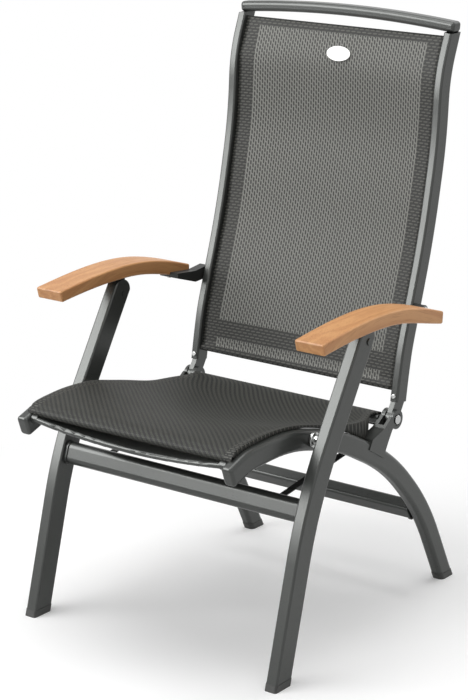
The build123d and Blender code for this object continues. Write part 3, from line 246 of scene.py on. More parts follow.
def powder_coat():
    """Satin powder coat on aluminium: dark and even, with a soft broad highlight and a faint orange peel."""
    material, tree, shader = new_material("anthracite_powder_coat", Metallic=0.35)
    place = add_node(tree, "ShaderNodeTexCoord", output="Object")
    # The real flake is under 0.1 mm and wouldn't show, so it is drawn at 1.6 mm.
    flake_size = 1.6 * MM
    clouds_per_metre = 14.0
    cloud = add_node(tree, NOISE, {"Vector": place, "Scale": clouds_per_metre, "Detail": 3.0})
    flake = add_node(tree, NOISE, {"Vector": place, "Scale": 1 / flake_size, "Detail": 1.0})
    base = linear(finish_colours().coating)
    light = scaled(base, 1.12)
    cloudy = add_node(tree, MIX, {0: cloud, 6: scaled(base, 0.86), 7: light}, **OF_COLOURS)
    sparkle = add_node(tree, MATH, {0: flake, 1: 0.25}, operation="MULTIPLY")
    add_node(tree, MIX, {0: sparkle, 6: cloudy, 7: light}, into=shader.inputs["Base Color"], **OF_COLOURS)
    rough = {0: flake, 1: 0.08, 2: 0.25}
    add_node(tree, MATH, rough, into=shader.inputs["Roughness"], operation="MULTIPLY_ADD")
    peel = {"Strength": 0.35, "Distance": 0.05 * MM, "Height": flake}
    add_node(tree, "ShaderNodeBump", peel, into=shader.inputs["Normal"])
    return material


def moulded_plastic(name="black_polyamide", roughness=0.5, dark=None, light=None):
    """Moulded polyamide, black unless told otherwise: matt, with the fine grain of a spark-eroded mould."""
    material, tree, shader = new_material(name, Roughness=roughness)
    place = add_node(tree, "ShaderNodeTexCoord", output="Object")
    # The real grain is about 0.1 mm and wouldn't show, so it is drawn at 0.9 mm.
    grain_size = 0.9 * MM
    grain = add_node(tree, NOISE, {"Vector": place, "Scale": 1 / grain_size, "Detail": 2.0})
    colours = {0: grain, 6: dark or linear("#161716"), 7: light or linear("#262726")}
    add_node(tree, MIX, colours, into=shader.inputs["Base Color"], **OF_COLOURS)
    texture = {"Strength": 0.5, "Distance": 0.08 * MM, "Height": grain}
    add_node(tree, "ShaderNodeBump", texture, into=shader.inputs["Normal"])
    return material


def foot_plastic():
    """Grey moulded polyamide of the foot glides, dyed to suit the coating."""
    base = linear(finish_colours().glide)
    return moulded_plastic("grey_polyamide", 0.45, scaled(base, 0.85), scaled(base, 1.15))


def polished_steel():
    """Stainless steel, turned and polished: bright, with faint turning marks."""
    material, tree, shader = new_material("stainless_steel", Metallic=1.0)
    place = add_node(tree, "ShaderNodeTexCoord", output="Object")
    # Real turning marks are about 0.1 mm apart and wouldn't show, so they are drawn at 0.7 mm.
    mark_size = 0.7 * MM
    marks = add_node(tree, NOISE, {"Vector": place, "Scale": 1 / mark_size, "Detail": 2.0})
    colours = {0: marks, 6: linear("#a3a4a3"), 7: linear("#c9cac9")}
    add_node(tree, MIX, colours, into=shader.inputs["Base Color"], **OF_COLOURS)
    rough = {0: marks, 1: 0.15, 2: 0.15}
    add_node(tree, MATH, rough, into=shader.inputs["Roughness"], operation="MULTIPLY_ADD")
    return material


def mill_aluminium():
    """Extruded aluminium, left bare: dull grey with long drawing lines."""
    material, tree, shader = new_material("mill_aluminium", Metallic=1.0)
    place = add_node(tree, "ShaderNodeTexCoord", output="Object")
    # The lines are 0.8 mm wide, and 50 times as long along the rail.
    line_width = 0.8 * MM
    drawn_out = (1.0, 0.02, 1.0)
    stretched = add_node(tree, "ShaderNodeMapping", {"Vector": place, "Scale": drawn_out})
    lines = add_node(tree, NOISE, {"Vector": stretched, "Scale": 1 / line_width, "Detail": 2.0})
    colours = {0: lines, 6: linear("#6f7170"), 7: linear("#8f9190")}
    add_node(tree, MIX, colours, into=shader.inputs["Base Color"], **OF_COLOURS)
    rough = {0: lines, 1: 0.2, 2: 0.3}
    add_node(tree, MATH, rough, into=shader.inputs["Roughness"], operation="MULTIPLY_ADD")
    return material


def oiled_teak():
    """Sanded, lightly oiled teak: warm, with long fine pores, darker late wood and speckled ends."""
    material, tree, shader = new_material("oiled_teak")
    grain = add_node(tree, "ShaderNodeAttribute", output="Vector", attribute_name="grain")
    # Growth bands are about 24 mm apart on a flat-sawn board, and a diagonal wave repeats every pi / 5.
    band_pitch = 24.17 * MM
    # Real pores are 0.3 mm wide and wouldn't show, so they are drawn at 1.5 mm, and 22 times as long.
    pore_width = 1.5 * MM
    ring_place = add_node(tree, "ShaderNodeMapping", {"Vector": grain, "Scale": (1.0, 0.06, 1.0)})
    wander = add_node(tree, NOISE, {"Vector": ring_place, "Scale": 28.0, "Detail": 3.0})
    wave = {"Vector": ring_place, "Scale": math.pi / 5 / band_pitch}
    wave.update({"Distortion": 9.0, "Detail": 3.0, "Detail Scale": 1.4})
    rings = add_node(tree, "ShaderNodeTexWave", wave, output="Fac", bands_direction="DIAGONAL")
    pore_place = add_node(tree, "ShaderNodeMapping", {"Vector": grain, "Scale": (1.0, 0.045, 1.0)})
    pores = add_node(tree, NOISE, {"Vector": pore_place, "Scale": 1 / pore_width, "Detail": 2.0})
    pore_lines = add_node(
        tree, RANGE, {"Value": pores, "From Min": 0.52, "From Max": 0.72, "To Min": 0.0, "To Max": 1.0}
    )
    pale, dark = linear(finish_colours().teak), linear(finish_colours().teak_dark)
    growth = add_node(tree, MIX, {0: rings, 6: pale, 7: dark}, **OF_COLOURS)
    softened = add_node(tree, MIX, {0: 0.62, 6: growth, 7: pale}, **OF_COLOURS)
    patches = add_node(tree, MATH, {0: wander, 1: 0.5}, operation="MULTIPLY")
    patchy = add_node(tree, MIX, {0: patches, 6: softened, 7: dark}, **OF_COLOURS)
    darkening = add_node(tree, MATH, {0: pore_lines, 1: 0.38}, operation="MULTIPLY")
    pored = {0: darkening, 6: patchy, 7: linear("#8a5a33")}
    add_node(tree, MIX, pored, into=shader.inputs["Base Color"], **OF_COLOURS)
    rough = {0: pore_lines, 1: 0.15, 2: 0.45}
    add_node(tree, MATH, rough, into=shader.inputs["Roughness"], operation="MULTIPLY_ADD")
    raised = add_node(tree, MATH, {0: 1.0, 1: pore_lines}, operation="SUBTRACT")
    open_pores = {"Strength": 0.6, "Distance": 0.12 * MM, "Height": raised}
    add_node(tree, "ShaderNodeBump", open_pores, into=shader.inputs["Normal"])
    return material


def staggered_cells(tree, place, across, along):
    """A point's offsets from the middle of its cell, across and along, in a lattice laid like bricks."""
    parts = add_node(tree, "ShaderNodeSeparateXYZ", {"Vector": place}).node.outputs
    columns = add_node(tree, MATH, {0: parts[0], 1: across}, operation="DIVIDE")
    column = add_node(tree, MATH, {0: columns}, operation="FLOOR")
    rows = add_node(tree, MATH, {0: parts[1], 1: along}, operation="DIVIDE")
    odd = add_node(tree, MATH, {0: column, 1: 2.0}, operation="FLOORED_MODULO")
    shifted = add_node(tree, MATH, {0: odd, 1: 0.5, 2: rows}, operation="MULTIPLY_ADD")
    offsets = []
    for cells in (columns, shifted):
        share = add_node(tree, MATH, {0: cells}, operation="FRACT")
        offsets.append(add_node(tree, MATH, {0: share, 1: 0.5}, operation="SUBTRACT"))
    return offsets


def soft_dash(tree, offsets, half_width, half_length, lean):
    """A dash in each cell, 1 inside and 0 outside, with soft ends, leaning a little across the cell."""
    across, along = offsets
    leaned = add_node(tree, MATH, {0: along, 1: lean, 2: across}, operation="MULTIPLY_ADD")
    distances = []
    for offset, half, power in ((leaned, half_width, 2.0), (along, half_length, 4.0)):
        share = add_node(tree, MATH, {0: offset, 1: half}, operation="DIVIDE")
        size = add_node(tree, MATH, {0: share}, operation="ABSOLUTE")
        distances.append(add_node(tree, MATH, {0: size, 1: power}, operation="POWER"))
    distance = add_node(tree, MATH, dict(enumerate(distances)), operation="ADD")
    edge = {"Value": distance, "From Min": 1.5, "From Max": 0.4, "To Min": 0.0, "To Max": 1.0}
    return add_node(tree, RANGE, edge, interpolation_type="SMOOTHSTEP")


def back_weave():
    """Plastic-coated polyester mesh: pale wavy warp yarns with staggered dark gaps between them."""
    material, tree, shader = new_material("back_mesh", Roughness=0.6, Specular_IOR_Level=0.3)
    place = add_node(tree, "ShaderNodeUVMap", uv_map="UVMap")
    sizes, colours = cloth(), finish_colours()
    cells = staggered_cells(tree, place, sizes.back_pitch, sizes.back_dash)
    gaps = soft_dash(tree, cells, 0.29, 0.42, 0.18)
    # The yarns' shade wanders over about 4 mm.
    fuzz_size = 4.0 * MM
    fuzz = add_node(tree, NOISE, {"Vector": place, "Scale": 1 / fuzz_size, "Detail": 2.0})
    pale = linear(colours.back_yarn)
    yarn = add_node(tree, MIX, {0: fuzz, 6: scaled(pale, 0.8), 7: scaled(pale, 1.2)}, **OF_COLOURS)
    woven = {0: gaps, 6: yarn, 7: linear(colours.back_gap)}
    add_node(tree, MIX, woven, into=shader.inputs["Base Color"], **OF_COLOURS)
    raised = add_node(tree, MATH, {0: 1.0, 1: gaps}, operation="SUBTRACT")
    relief = {"Strength": 0.7, "Distance": 0.5 * MM, "Height": raised}
    add_node(tree, "ShaderNodeBump", relief, into=shader.inputs["Normal"])
    return material


def border_weave():
    """The same mesh woven dark: grey weft dashes, staggered like bricks, on black."""
    material, tree, shader = new_material("border_mesh", Roughness=0.6, Specular_IOR_Level=0.3)
    place = add_node(tree, "ShaderNodeUVMap", uv_map="UVMap")
    quarter_turn = (0.0, 0.0, math.radians(90))
    turned = add_node(tree, "ShaderNodeMapping", {"Vector": place, "Rotation": quarter_turn})
    cells = staggered_cells(tree, turned, cloth().border_pitch, cloth().border_dash)
    dashes = soft_dash(tree, cells, 0.24, 0.40, 0.10)
    woven = {0: dashes, 6: linear("#161714"), 7: linear("#4e4e49")}
    add_node(tree, MIX, woven, into=shader.inputs["Base Color"], **OF_COLOURS)
    relief = {"Strength": 0.7, "Distance": 0.5 * MM, "Height": dashes}
    add_node(tree, "ShaderNodeBump", relief, into=shader.inputs["Normal"])
    return material


def seat_weave():
    """Dense dark mesh in a two-and-two twill, whose diagonal ribs are a little paler than the rest, and
    whose yarns are darkened towards their edges as painted shade.
    """
    material, tree, shader = new_material("seat_mesh", Roughness=0.6, Specular_IOR_Level=0.3)
    place = add_node(tree, "ShaderNodeUVMap", uv_map="UVMap")
    parts = add_node(tree, "ShaderNodeSeparateXYZ", {"Vector": place}).node.outputs
    steps, offsets = [], []
    for axis in (0, 1):
        yarns = add_node(tree, MATH, {0: parts[axis], 1: cloth().seat_pitch}, operation="DIVIDE")
        steps.append(add_node(tree, MATH, {0: yarns}, operation="FLOOR"))
        share = add_node(tree, MATH, {0: yarns}, operation="FRACT")
        offset = add_node(tree, MATH, {0: share, 1: 0.5}, operation="SUBTRACT")
        offsets.append(add_node(tree, MATH, {0: offset}, operation="ABSOLUTE"))
    diagonal = add_node(tree, MATH, dict(enumerate(steps)), operation="ADD")
    repeat = add_node(tree, MATH, {0: diagonal, 1: 4.0}, operation="FLOORED_MODULO")
    over = add_node(tree, MATH, {0: repeat, 1: 1.5}, operation="LESS_THAN")
    edge = add_node(tree, MATH, dict(enumerate(offsets)), operation="MAXIMUM")
    rounding = {"Value": edge, "From Min": 0.5, "From Max": 0.2, "To Min": 0.0, "To Max": 1.0}
    crown_and_painted_shade = add_node(tree, RANGE, rounding, interpolation_type="SMOOTHSTEP")
    colours = finish_colours()
    shades = {0: over, 6: linear(colours.seat_gap), 7: linear(colours.seat_yarn)}
    rib = add_node(tree, MIX, shades, **OF_COLOURS)
    # Painted shade: each yarn is darkened towards #131412 at its edges, where the round yarns meet, and
    # keeps its own colour along its middle.
    shown = add_node(tree, MATH, {0: crown_and_painted_shade, 1: 0.7, 2: 0.3}, operation="MULTIPLY_ADD")
    woven = {0: shown, 6: linear("#131412"), 7: rib}
    add_node(tree, MIX, woven, into=shader.inputs["Base Color"], **OF_COLOURS)
    half_crown = add_node(tree, MATH, {0: crown_and_painted_shade, 1: 0.5}, operation="MULTIPLY")
    height = add_node(tree, MATH, {0: over, 1: 0.5, 2: half_crown}, operation="MULTIPLY_ADD")
    relief = {"Strength": 0.6, "Distance": 0.4 * MM, "Height": height}
    add_node(tree, "ShaderNodeBump", relief, into=shader.inputs["Normal"])
    return material


def strap_weave():
    """Black polyester webbing with fine ribs across."""
    material, tree, shader = new_material("strap_webbing", Roughness=0.7)
    place = add_node(tree, "ShaderNodeTexCoord", output="Object")
    # The ribs are 2.4 mm apart, and a wave along one axis repeats every pi / 10.
    rib_pitch = 2.375 * MM
    wave = {"Vector": place, "Scale": math.pi / 10 / rib_pitch, "Distortion": 1.0}
    ribs = add_node(tree, "ShaderNodeTexWave", wave, output="Fac", bands_direction="Z")
    colours = {0: ribs, 6: linear("#0c0d0c"), 7: linear("#232423")}
    add_node(tree, MIX, colours, into=shader.inputs["Base Color"], **OF_COLOURS)
    relief = {"Strength": 0.6, "Distance": 0.2 * MM, "Height": ribs}
    add_node(tree, "ShaderNodeBump", relief, into=shader.inputs["Normal"])
    return material


def enamel():
    """White enamelled badge: smooth and glossy, with a faint unevenness."""
    material, tree, shader = new_material("white_enamel", Roughness=0.3)
    place = add_node(tree, "ShaderNodeTexCoord", output="Object")
    # The enamel's white drifts over about 17 mm.
    clouds_per_metre = 60.0
    cloud = add_node(tree, NOISE, {"Vector": place, "Scale": clouds_per_metre, "Detail": 2.0})
    colours = {0: cloud, 6: linear("#e9e9e6"), 7: linear("#f4f4f2")}
    add_node(tree, MIX, colours, into=shader.inputs["Base Color"], **OF_COLOURS)
    return material


def new_piece(name, mesh, *materials, smooth=True):
    """Turn a bmesh into a piece with these materials."""
    data = bpy.data.meshes.new(name)
    mesh.to_mesh(data)
    mesh.free()
    piece = bpy.data.objects.new(name, data)
    bpy.context.scene.collection.objects.link(piece)
    for material in materials:
        data.materials.append(material)
    if smooth:
        data.polygons.foreach_set("use_smooth", [True] * len(data.polygons))
    return piece


def copy_of_node(node):
    """A bmesh copy of a CAD node, with its doubled corners merged."""
    mesh = bmesh.new()
    mesh.from_mesh(NODES[node].data)
    bmesh.ops.remove_doubles(mesh, verts=mesh.verts, dist=WELD)
    return mesh


def search_tree(node):
    """A search tree over a CAD node's faces."""
    mesh = bmesh.new()
    mesh.from_mesh(NODES[node].data)
    tree = BVHTree.FromBMesh(mesh)
    mesh.free()
    return tree


def meet_from_above(tree, x, y, top):
    """Where a ray straight down at x, y first meets a surface whose top is at this height, or None."""
    return tree.ray_cast(Vector((x, y, top + RAY_START)), Vector((0, 0, -1)))[0]


def thicken(piece, thickness):
    """Give a sheet its thickness, on the side that its faces look away from."""
    modifier = piece.modifiers.new("cloth thickness", "SOLIDIFY")
    modifier.thickness = thickness
    modifier.offset = -1.0
    modifier.use_even_offset = True


def spread(places, counts):
    """Even steps between places, as many as counts says in each stretch."""
    values = []
    for start, end, count in zip(places, places[1:], counts):
        values += [start + (end - start) * step / count for step in range(count)]
    return values + [places[-1]]


def hem_points(y, z, radius, arc):
    """Points of a hem round a rod's middle at y, z. The arc is its first angle, last angle and steps."""
    first, last, steps = arc
    points = []
    for step in range(steps + 1):
        angle = math.radians(first + (last - first) * step / steps)
        points.append((y + radius * math.cos(angle), z + radius * math.sin(angle)))
    return points


def sheet_grid(xs, ys, stretch=1.0):
    """A flat grid whose columns and rows lie at these places, with a UV map whose x is stretched."""
    mesh = bmesh.new()
    mesh.loops.layers.uv.new("UVMap")
    columns, rows = len(xs) - 1, len(ys) - 1
    bmesh.ops.create_grid(mesh, x_segments=columns, y_segments=rows, size=1.0, calc_uvs=True)
    uv = mesh.loops.layers.uv["UVMap"]
    for vert in mesh.verts:
        column = round((vert.co.x + 1) / 2 * columns)
        row = round((vert.co.y + 1) / 2 * rows)
        vert.co = Vector((xs[column], ys[row], 0))
    for face in mesh.faces:
        for loop in face.loops:
            loop[uv].uv = (loop.vert.co.x * stretch, loop.vert.co.y)
    return mesh


def smooth_along(mesh, verts, axis, times):
    """Even out a stretched cloth along one axis."""
    axes = {f"use_axis_{name}": name == axis for name in "xyz"}
    for _ in range(times):
        bmesh.ops.smooth_vert(mesh, verts=verts, factor=0.5, **axes)


def face_along(piece, direction):
    """Turn a sheet's faces so that they look along a direction."""
    mesh = bmesh.new()
    mesh.from_mesh(piece.data)
    total = sum((f.normal * f.calc_area() for f in mesh.faces), Vector())
    if total.dot(direction) < 0:
        bmesh.ops.reverse_faces(mesh, faces=mesh.faces)
    mesh.to_mesh(piece.data)
    mesh.free()


class ARMCHAIR_OT_coat_frame(bpy.types.Operator):
    """Give the tubes, brackets, fasteners, glides and rails their finishes"""

    bl_idname = "armchair.coat_frame"
    bl_label = "Coat frame"

    def execute(self, context):
        finishes = {
            "frame_coating": powder_coat,
            "plastic": moulded_plastic,
            "fastener": polished_steel,
            "rail": mill_aluminium,
        }
        made = {slot: make() for slot, make in finishes.items()}
        glide = foot_plastic()
        for part in frame["record"]["subparts"]:
            name, slot = part["node"], part["material_slot"]
            if slot not in made:
                continue
            material = made[slot]
            if "foot_glide" in name:
                material = glide
            elif "leg_pin" in name or name == "seat_front_rod":
                material = made["frame_coating"]
            node = NODES[name]
            node.data.materials.clear()
            node.data.materials.append(material)
        return {"FINISHED"}


def back_bands(low, high, sizes):
    """Heights at which the back's bands change: hem, pale strip, dark band, pale field and dark top."""
    hem_top = low.z + BACK_HEM_REACH
    strip_top = hem_top + sizes.low_strip
    return [hem_top, strip_top, strip_top + sizes.low_band, high.z - sizes.top_band, high.z]


def back_rows(bands, thickness):
    """The back's rows as (place along the cloth, y, z). Above the hem, y is left to the CAD surface."""
    low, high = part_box("back_hem_rod")
    radius = (high.z - low.z) / 2 + thickness + BACK_HEM_PLAY
    first, last, steps = BACK_HEM_ARC
    row_length = radius * math.radians(first - last) / steps
    around = hem_points((low.y + high.y) / 2, (low.z + high.z) / 2, radius, BACK_HEM_ARC)
    start = bands[0] - BACK_HEM_GAP
    rows = [(start - row_length * (steps - step), y, z) for step, (y, z) in enumerate(around)]
    return rows + [(z, None, z) for z in spread(bands, BACK_ROWS)]


class ARMCHAIR_OT_add_back_sling(bpy.types.Operator):
    """Stretch the backrest's mesh between the back tubes, with its dark bands, round the lower rod"""

    bl_idname = "armchair.add_back_sling"
    bl_label = "Back sling"

    def execute(self, context):
        sizes = cloth()
        low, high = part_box("back_sling")
        surface = search_tree("back_sling")
        half = high.x
        inner = half - sizes.band_width
        bands = back_bands(low, high, sizes)
        hem_top, strip_top, band_top, top_start, _ = bands
        rows = back_rows(bands, sizes.thickness)
        mesh = sheet_grid(spread([-half, -inner, inner, half], BACK_COLUMNS), [row[0] for row in rows])
        stretched = []
        for vert in mesh.verts:
            x = vert.co.x
            _, y, z = min(rows, key=lambda row: abs(row[0] - vert.co.y))
            if y is None:
                inside = min(max(z, low.z + BACK_RIM), high.z - BACK_RIM)
                probe = Vector((x * (1 - BACK_RIM / half), low.y - RAY_START, inside))
                y = surface.ray_cast(probe, Vector((0, 1, 0)))[0].y + BACK_RIM
                if z > strip_top and not vert.is_boundary:
                    stretched.append(vert)
            vert.co = Vector((x, y, z))
        for face in mesh.faces:
            middle = face.calc_center_median()
            dark = abs(middle.x) > inner or middle.z > top_start
            dark = dark or middle.z < hem_top or strip_top < middle.z < band_top
            face.material_index = 1 if dark else 0
        smooth_along(mesh, stretched, "y", BACK_SMOOTHING)
        piece = new_piece("back_fabric", mesh, back_weave(), border_weave())
        face_along(piece, Vector((0, -1, 0)))
        thicken(piece, sizes.thickness)
        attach(piece, "backrest")
        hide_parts("back_sling")
        return {"FINISHED"}


def seat_rows(surface, low, high):
    """The seat's line from the front hem to the rear hem, as (y, z, whether it lies on the CAD surface)."""
    rod_low, rod_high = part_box("seat_front_rod")
    tube_low, tube_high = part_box("rear_seat_tube")
    rod_y, rod_z = (rod_low.y + rod_high.y) / 2, (rod_low.z + rod_high.z) / 2
    tube_y, tube_z = (tube_low.y + tube_high.y) / 2, (tube_low.z + tube_high.z) / 2
    last_y = high.y - RIM
    front = meet_from_above(surface, high.x - SEAT_HEM_INSET, low.y + RIM, high.z)
    rear = meet_from_above(surface, SEAT_LINE_X, last_y, high.z)
    rows = [(y, z, False) for y, z in hem_points(rod_y, rod_z, front.z - rod_z, FRONT_HEM_ARC)]
    for y in spread([rod_y + SEAT_HEM_LEAD, tube_y], [SEAT_ROWS]):
        rows.append((y, meet_from_above(surface, SEAT_LINE_X, min(y, last_y), high.z).z, True))
    return rows + [(y, z, False) for y, z in hem_points(tube_y, tube_z, rear.z - tube_z, REAR_HEM_ARC)]


def seat_columns(half, side_hem):
    """Places across the seat as shares of its half width, with the side hems and the skirts beyond them."""
    inner = 1 - side_hem / half
    skirt = [1 + SKIRT_SHARE * (step + 1) for step in range(SKIRT_STEPS)]
    return [-share for share in reversed(skirt)] + spread([-1, -inner, inner, 1], SEAT_COLUMNS) + skirt


def half_widths(ys):
    """How far the seat's CAD node reaches from the middle at each y."""
    node = bmesh.new()
    node.from_mesh(NODES["seat_sling"].data)
    widths = []
    for y in ys:
        cut = node.copy()
        everything = cut.verts[:] + cut.edges[:] + cut.faces[:]
        met = bmesh.ops.bisect_plane(cut, geom=everything, plane_co=(0, y, 0), plane_no=(0, 1, 0))
        corners = [item for item in met["geom_cut"] if isinstance(item, bmesh.types.BMVert)]
        widths.append(max(abs(corner.co.x) for corner in corners))
        cut.free()
    node.free()
    return widths


class ARMCHAIR_OT_add_seat_sling(bpy.types.Operator):
    """Lay the seat's mesh over the side frames, with its front and rear hems round their rods"""

    bl_idname = "armchair.add_seat_sling"
    bl_label = "Seat sling"

    def execute(self, context):
        sizes = cloth()
        low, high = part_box("seat_sling")
        surface = search_tree("seat_sling")
        frames = {-1: search_tree("side_frame_right"), 1: search_tree("side_frame_left")}
        frame_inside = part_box("side_frame_left")[0].x
        rows = seat_rows(surface, low, high)
        widths = half_widths([min(max(y, low.y + MM), high.y - MM) for y, _, _ in rows])
        lengths = [0.0]
        for (y0, z0, _), (y1, z1, _) in zip(rows, rows[1:]):
            lengths.append(lengths[-1] + math.hypot(y1 - y0, z1 - z0))
        mesh = sheet_grid(seat_columns(high.x, sizes.side_hem), lengths, stretch=high.x)
        stretched = []
        for vert in mesh.verts:
            share = vert.co.x
            row = min(range(len(lengths)), key=lambda i: abs(lengths[i] - vert.co.y))
            y, z, on_surface = rows[row]
            side = 1 if share > 0 else -1
            down = round(max(0.0, abs(share) - 1) / SKIRT_SHARE) / SKIRT_STEPS
            inside = share if abs(share) < 1 else side
            if on_surface:
                hit = meet_from_above(surface, inside * (widths[row] - RIM), y, high.z)
                z = hit.z if hit is not None else z
                if abs(share) < SEAT_EVENED_SHARE:
                    stretched.append(vert)
            x = inside * widths[row] + side * down * SKIRT_SPREAD
            if down and on_surface:
                rest = z - SKIRT_DROP
                if widths[row] > frame_inside:
                    hit = meet_from_above(frames[side], x, y, high.z)
                    rest = hit.z + SKIRT_CLEARANCE if hit is not None else rest
                z = min(z - SKIRT_LEAST_DROP, z + (rest - z) * down)
            vert.co = Vector((x, y, z))
        smooth_along(mesh, stretched, "z", SEAT_SMOOTHING)
        uv = mesh.loops.layers.uv["UVMap"]
        for face in mesh.faces:
            across = sum(abs(loop[uv].uv.x) for loop in face.loops) / len(face.loops)
            face.material_index = 1 if across > high.x - sizes.side_hem else 0
        piece = new_piece("seat_fabric", mesh, seat_weave(), border_weave())
        face_along(piece, Vector((0, 0, 1)))
        thicken(piece, sizes.thickness)
        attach(piece, "side_frames")
        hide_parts("seat_sling")
        return {"FINISHED"}


class ARMCHAIR_OT_add_armrests(bpy.types.Operator):
    """Give each wooden armrest its grain, which follows the bent board"""

    bl_idname = "armchair.add_armrests"
    bl_label = "Armrests"

    def execute(self, context):
        wood = oiled_teak()
        for side in SIDES:
            low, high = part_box(f"armrest_{side}")
            rise, middle, half = high.z - low.z, (low.y + high.y) / 2, (high.y - low.y) / 2
            shift = PLANK_SHIFT if side == "left" else 0.0
            piece = new_piece(f"teak_arm_{side}", copy_of_node(f"armrest_{side}"), wood, smooth=False)
            grain = piece.data.attributes.new("grain", "FLOAT_VECTOR", "POINT")
            places = []
            for vert in piece.data.vertices:
                x, y, z = vert.co
                bend = GRAIN_BEND * rise * (1 - ((y - middle) / half) ** 2)
                places += [x + shift, y + shift, z - bend]
            grain.data.foreach_set("vector", places)
            piece.data.shade_smooth()
            modifier = piece.modifiers.new("flat sides", "WEIGHTED_NORMAL")
            modifier.keep_sharp = True
            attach(piece, "arms")
            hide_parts(f"armrest_{side}")
        return {"FINISHED"}


class ARMCHAIR_OT_add_badge(bpy.types.Operator):
    """Give the plain oval plate its enamel"""

    bl_idname = "armchair.add_badge"
    bl_label = "Badge"

    def execute(self, context):
        node = NODES["back_badge"]
        node.data.materials.clear()
        node.data.materials.append(enamel())
        return {"FINISHED"}


class ARMCHAIR_OT_add_straps(bpy.types.Operator):
    """Run the limit straps from the cross bar to the studs on the side frames"""

    bl_idname = "armchair.add_straps"
    bl_label = "Limit straps"

    def execute(self, context):
        webbing = strap_weave()
        for side in SIDES:
            name = f"limit_strap_{side}"
            low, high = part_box(name)
            mesh = copy_of_node(name)
            for y in spread([low.y, high.y], [STRAP_LENGTHS])[1:-1]:
                everything = mesh.verts[:] + mesh.edges[:] + mesh.faces[:]
                bmesh.ops.bisect_plane(mesh, geom=everything, plane_co=(0, y, 0), plane_no=(0, 1, 0))
            piece = new_piece(f"strap_{side}", mesh, webbing, smooth=False)
            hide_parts(name)
            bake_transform(piece)
        return {"FINISHED"}


def seen_directly(tree):
    """1 for what the camera, a mirror or a glass sees, and 0 for what lights a surface."""
    rays = add_node(tree, "ShaderNodeLightPath").node.outputs
    indirect = {0: rays["Is Glossy Ray"], 1: rays["Is Transmission Ray"]}
    mirrored = add_node(tree, MATH, indirect, operation="MAXIMUM")
    return add_node(tree, MATH, {0: rays["Is Camera Ray"], 1: mirrored}, operation="MAXIMUM")


def floor_paint():
    """White studio floor: it keeps the soft shadow under the chair and fades to plain white further out."""
    material, tree, shader = new_material(
        "studio_floor", Roughness=0.9, Base_Color=linear("#f2f2f2"), Specular_IOR_Level=0.0
    )
    place = add_node(tree, "ShaderNodeTexCoord", output="Object")
    distance = add_node(tree, "ShaderNodeVectorMath", {0: place}, output="Value", operation="LENGTH")
    near, far = SHADOW_REACH
    fade = {"Value": distance, "From Min": near, "From Max": far, "To Min": 0.0, "To Max": 1.0}
    faded = add_node(tree, RANGE, fade, interpolation_type="SMOOTHSTEP")
    glow = add_node(tree, "ShaderNodeEmission", {"Strength": studio().floor_lift})
    white = add_node(tree, "ShaderNodeEmission", {"Strength": 1.0})
    lifted = add_node(tree, "ShaderNodeAddShader", {0: shader.outputs[0], 1: glow})
    in_view = add_node(tree, "ShaderNodeMixShader", {0: faded, 1: lifted, 2: white})
    surface = tree.nodes["Material Output"].inputs["Surface"]
    shown = {0: seen_directly(tree), 1: shader.outputs[0], 2: in_view}
    add_node(tree, "ShaderNodeMixShader", shown, into=surface)
    return material


def add_world():
    """Even light all round, and plain white where the camera sees past the floor."""
    world = bpy.data.worlds.new("studio_world")
    bpy.context.scene.world = world
    world.use_nodes = True
    tree = world.node_tree
    tree.nodes.clear()
    surface = tree.nodes.new("ShaderNodeOutputWorld").inputs["Surface"]
    light = add_node(tree, "ShaderNodeBackground", {"Color": (1, 1, 1, 1), "Strength": studio().sky})
    white = add_node(tree, "ShaderNodeBackground", {"Color": (1, 1, 1, 1), "Strength": 1.0})
    add_node(tree, "ShaderNodeMixShader", {0: seen_directly(tree), 1: light, 2: white}, into=surface)


def add_light(name, place, size, watts):
    """Add a square soft light that looks at the chair."""
    data = bpy.data.lights.new(name, "AREA")
    data.shape = "SQUARE"
    data.size = size
    data.energy = watts
    light = bpy.data.objects.new(name, data)
    bpy.context.scene.collection.objects.link(light)
    light.location = place
    light.rotation_mode = "QUATERNION"
    light.rotation_quaternion = (Vector(LIGHT_AIM) - Vector(place)).to_track_quat("-Z", "Y")
    light.visible_diffuse = name != GLOSS_LIGHT


def add_camera():
    """Add the camera that sees the chair as the photo does."""
    settings = studio()
    data = bpy.data.cameras.new("studio_camera")
    data.sensor_fit = "VERTICAL"
    data.sensor_height = SENSOR_HEIGHT
    data.lens = settings.lens
    camera = bpy.data.objects.new("studio_camera", data)
    bpy.context.scene.collection.objects.link(camera)
    azimuth, elevation = math.radians(settings.azimuth), math.radians(settings.elevation)
    level = math.cos(elevation)
    back = Vector((math.sin(azimuth) * level, -math.cos(azimuth) * level, math.sin(elevation)))
    camera.location = settings.camera_place
    camera.rotation_mode = "QUATERNION"
    camera.rotation_quaternion = (-back).to_track_quat("-Z", "Y")
    bpy.context.scene.camera = camera


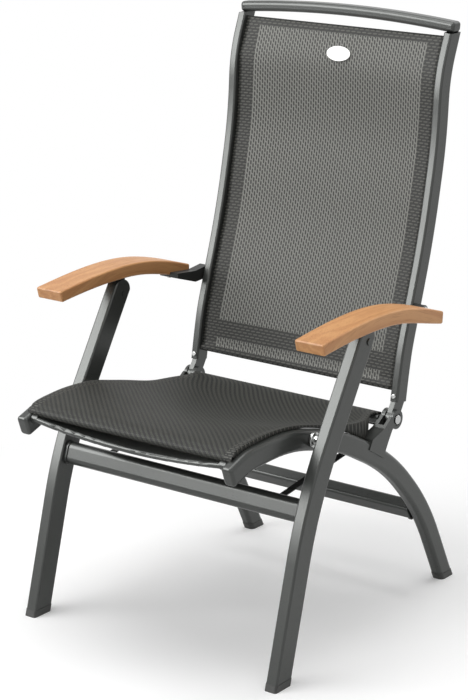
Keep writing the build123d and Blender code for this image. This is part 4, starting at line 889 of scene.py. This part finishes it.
class ARMCHAIR_OT_add_studio(bpy.types.Operator):
    """Set up the pale floor, the soft lights and the camera"""

    bl_idname = "armchair.add_studio"
    bl_label = "Studio"

    def execute(self, context):
        mesh = bmesh.new()
        bmesh.ops.create_grid(mesh, x_segments=1, y_segments=1, size=FLOOR_SIZE)
        new_piece("studio_floor", mesh, floor_paint(), smooth=False)
        add_world()
        for light in LIGHTS:
            add_light(*light)
        add_camera()
        context.scene.view_settings.view_transform = "Standard"
        return {"FINISHED"}


class ARMCHAIR_PT_panel(bpy.types.Panel):
    """The armchair's pieces, in the sidebar of the 3D view"""

    bl_idname = "ARMCHAIR_PT_panel"
    bl_label = "Reclining Garden Armchair"
    bl_space_type = "VIEW_3D"
    bl_region_type = "UI"
    bl_category = "Armchair"

    def draw(self, context):
        for operator in OPERATORS:
            self.layout.operator(operator.bl_idname)
        for settings in (cloth(), finish_colours(), studio()):
            box = self.layout.box()
            for name in settings.bl_rna.properties.keys():
                if name not in ("rna_type", "name"):
                    box.prop(settings, name)


SETTINGS = {
    "armchair_cloth": ClothSettings,
    "armchair_finish": FinishSettings,
    "armchair_studio": StudioSettings,
}
OPERATORS = (
    ARMCHAIR_OT_coat_frame,
    ARMCHAIR_OT_add_back_sling,
    ARMCHAIR_OT_add_seat_sling,
    ARMCHAIR_OT_add_armrests,
    ARMCHAIR_OT_add_badge,
    ARMCHAIR_OT_add_straps,
    ARMCHAIR_OT_add_studio,
)
CLASSES = tuple(SETTINGS.values()) + OPERATORS + (ARMCHAIR_PT_panel,)


def register():
    for cls in CLASSES:
        bpy.utils.register_class(cls)
    for name, group in SETTINGS.items():
        setattr(bpy.types.Scene, name, PointerProperty(type=group))


def unregister():
    for name in SETTINGS:
        delattr(bpy.types.Scene, name)
    for cls in reversed(CLASSES):
        bpy.utils.unregister_class(cls)


def main():
    register()
    for operator in OPERATORS:
        group, name = operator.bl_idname.split(".")
        getattr(getattr(bpy.ops, group), name)()


if __name__ == "__main__":
    main()
